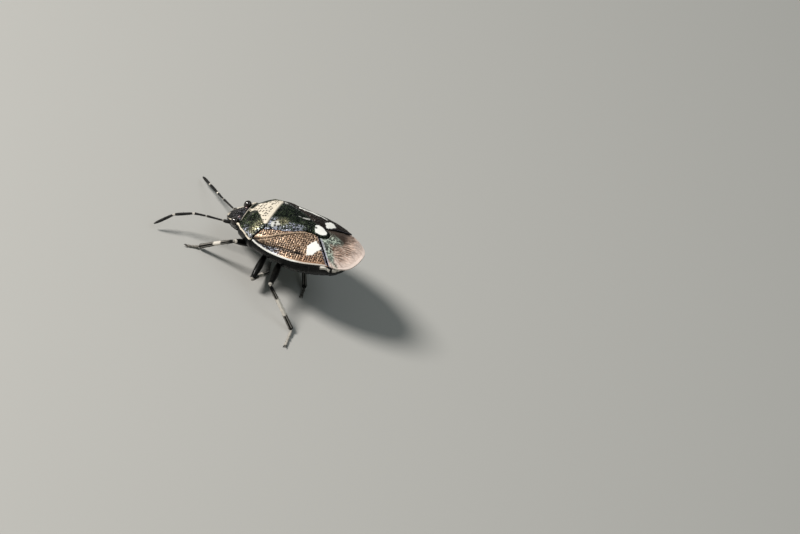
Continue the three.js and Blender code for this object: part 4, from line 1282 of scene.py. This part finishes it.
def make_trunk():
    stations = np.concatenate([np.linspace(TAIL, -0.2, 150, endpoint=False), np.linspace(-0.2, 2.27, 96)])
    half = trunk_side(stations)
    dent = 0.035 * sum(hump(stations, end, 0.026) for end in SEGMENT_ENDS)
    cover = np.minimum(half_back(stations) + GAP, half - 0.02)
    shown = ease(stations, -2.55, -2.3) * (1 - ease(stations, -1.75, -1.5))
    under_rim = back(stations, half) - PLATE - GAP
    rim = np.where(stations < ABDOMEN_FRONT, mix(under_rim, margin(stations) - 0.02, shown), under_rim)
    rings = [trunk_ring(*ring) for ring in zip(stations, half - dent, cover, rim, dent)]
    y, z, turn = (np.array(part) for part in zip(*rings))
    x = np.repeat(stations[:, None], y.shape[1], axis=1)

    # Punctures, plates of the chest and breathing holes, as depth toward the middle of the trunk
    below = turn >= 0
    level = np.where(below, np.sin(np.clip(turn, 0, math.pi)), 0)
    step_y, step_z = (np.diff(part, axis=1, prepend=part[:, :1]) for part in (y, z))
    arc = np.cumsum(np.hypot(step_y, step_z), axis=1)
    chest = ease(x, -0.3, -0.15) * below
    belly = below * (1 - chest) * ease(level, 0.05, 0.2)
    pit = pits(x, arc, *CHEST_PITS, 14) * (chest * (1 - ease(level, 0.6, 0.85)))
    pit = pit + 0.6 * pits(x, arc, *BELLY_PITS, 15) * belly
    plates = sum(hump(x, at, 0.018) for at in (1.38, 0.42)) * chest
    midline = hump(y, 0, 0.03) * below * ease(x, -0.2, 0.1)
    spiracle = sum(hump(x, at - 0.2, 0.024) for at in SEGMENT_ENDS[:5]) * hump(level, 0.42, 0.02) * below
    inward = 0.012 * pit + 0.03 * plates + 0.02 * midline + 0.03 * spiracle
    inward = inward - 0.004 * ripple(x, arc, 0.4, 1.9) * below
    net = np.stack([x, y, z], -1)
    way = np.stack([x, np.zeros_like(y), np.full_like(z, 0.9)], -1) - net
    way /= np.maximum(np.linalg.norm(way, axis=-1, keepdims=True), 1e-6)
    net = net + way * inward[..., None]

    # Cream patches along the rim, and the closed skin
    count = net.shape[1]
    faces = grid_faces(len(stations), count, closed=True)
    faces.append(list(range(count)))
    faces.append([(len(stations) - 1) * count + i for i in range(count)][::-1])
    near_rim = (y ** 2 > (cover[:, None] * 0.97) ** 2) & (level < mix(0.05, 0.14, ease(-x, 2.5, 2.8)))
    cream = near_rim * ease(-x, 2.1, 2.16) * (1 - ease(hump(x, PATCH_GAP, 0.05), 0.25, 0.5))
    marks = {"cream": 0.95 * (cream * ease(x, -3.13, -3.08)).ravel()}
    piece = finish_piece("trunk_skin", net.reshape(-1, 3), faces, [BELLY], marks)
    under = [polygon.normal.z for polygon in piece.data.polygons if polygon.center.z < 0.6 * MM]
    if sum(under) > 0:
        piece.data.flip_normals()
    settle(piece, "belly", "thorax", "abdomen")


make_pronotum()
make_scutellum()
make_head()
make_beak()
make_trunk()
make_membrane("right", -0.96, -0.2, 0.02)
make_membrane("left", -0.3, 0.96, 0.0)
for name, side in (("left", 1), ("right", -1)):
    make_corium(name, side)
    make_antenna(name)
    eye = ball("eyeball_" + name, mirrored(EYE_AT, side), EYE_HALF, [LENS])
    settle(eye, "eye", "eye_" + name)
    ocellus_at = mirrored(OCELLUS_AT, side)
    ocellus = ball("ocellus_ball_" + name, ocellus_at, [OCELLUS_RADIUS] * 3, [OCELLUS], 28, 18)
    settle(ocellus, "eye", "ocellus_" + name)
for number, (name, leg) in enumerate(LEGS.items()):
    seed = 1000 + 17 * number
    ankle = on_floor(leg["ankle"], 0.125)
    make_coxa(name, leg)
    make_thigh(name, leg, seed)
    make_shin(name, leg, ankle, seed)
    make_foot(name, leg, ankle, seed)


# Floor, light and camera
def place_light(name, at, size, power, color):
    """Round soft light that shines at the animal."""
    lamp = bpy.data.lights.new(name, "AREA")
    lamp.shape = "DISK"
    lamp.size = size
    lamp.energy = power
    lamp.color = color
    holder = add_object(name, lamp)
    holder.location = at
    holder.rotation_euler = (-Vector(at)).to_track_quat("-Z", "Y").to_euler()


FLOOR_REACH = 400 * MM


def make_floor():
    mesh = bpy.data.meshes.new("floor")
    corners = [(-1, -1), (1, -1), (1, 1), (-1, 1)]
    mesh.from_pydata([(x * FLOOR_REACH, y * FLOOR_REACH, 0) for x, y in corners], [], [(0, 1, 2, 3)])
    made, tree, shader = material("pale paper floor")
    dress(tree, shader, Base_Color=(0.52, 0.51, 0.49), Roughness=0.9)
    mesh.materials.append(made)
    floor = add_object("floor", mesh)


# The photo's camera in the trunk's frame, in millimetres
RIGHT = np.array([-0.91798, -0.37968, 0.11472])
UP = np.array([0.31466, -0.52104, 0.79342])
TOWARD = np.array([-0.24147, 0.76443, 0.59777])
DISTANCE = 200.0
AIM = 5.087 * RIGHT - 0.635 * UP
SENSOR_WIDTH = 36
FOCAL_LENGTH = 196.69


def make_camera():
    data = bpy.data.cameras.new("camera")
    data.sensor_width = SENSOR_WIDTH
    data.lens = FOCAL_LENGTH
    data.clip_start = MM
    holder = add_object("camera", data)
    place = Matrix.Identity(4)
    at = stand(AIM + DISTANCE * TOWARD)
    for column, axis in enumerate((tilt @ RIGHT, tilt @ UP, tilt @ TOWARD, at)):
        for row in range(3):
            place[row][column] = float(axis[row])
    holder.matrix_world = place
    bpy.context.scene.camera = holder


def toward_camera(right, up, near):
    """A place in metres, measured to the right, up the picture and toward the camera."""
    return tuple(float(c) for c in stand((right * RIGHT + up * UP + near * TOWARD) / MM))


# Place of each light seen from the camera, its size in metres, its power and its colour
LIGHTS = {
    "key": ((-0.08, 0.12, 0.11), 0.05, 0.38, (1.0, 0.97, 0.92)),
    "fill": ((0.12, 0.08, 0.1), 0.12, 0.035, (0.85, 0.92, 1.0)),
    "rim": ((-0.02, 0.12, -0.12), 0.06, 0.014, (0.95, 0.97, 1.0)),
}

make_floor()
make_camera()
for name, (at, size, power, color) in LIGHTS.items():
    place_light(name, toward_camera(*at), size, power, color)
bpy.context.scene.view_settings.view_transform = "Standard"
world = bpy.data.worlds.new("soft room")
world.use_nodes = True
background = next(node for node in world.node_tree.nodes if node.type == "BACKGROUND")
background.inputs["Color"].default_value = (0.75, 0.85, 0.8, 1)
background.inputs["Strength"].default_value = 0.17
bpy.context.scene.world = world
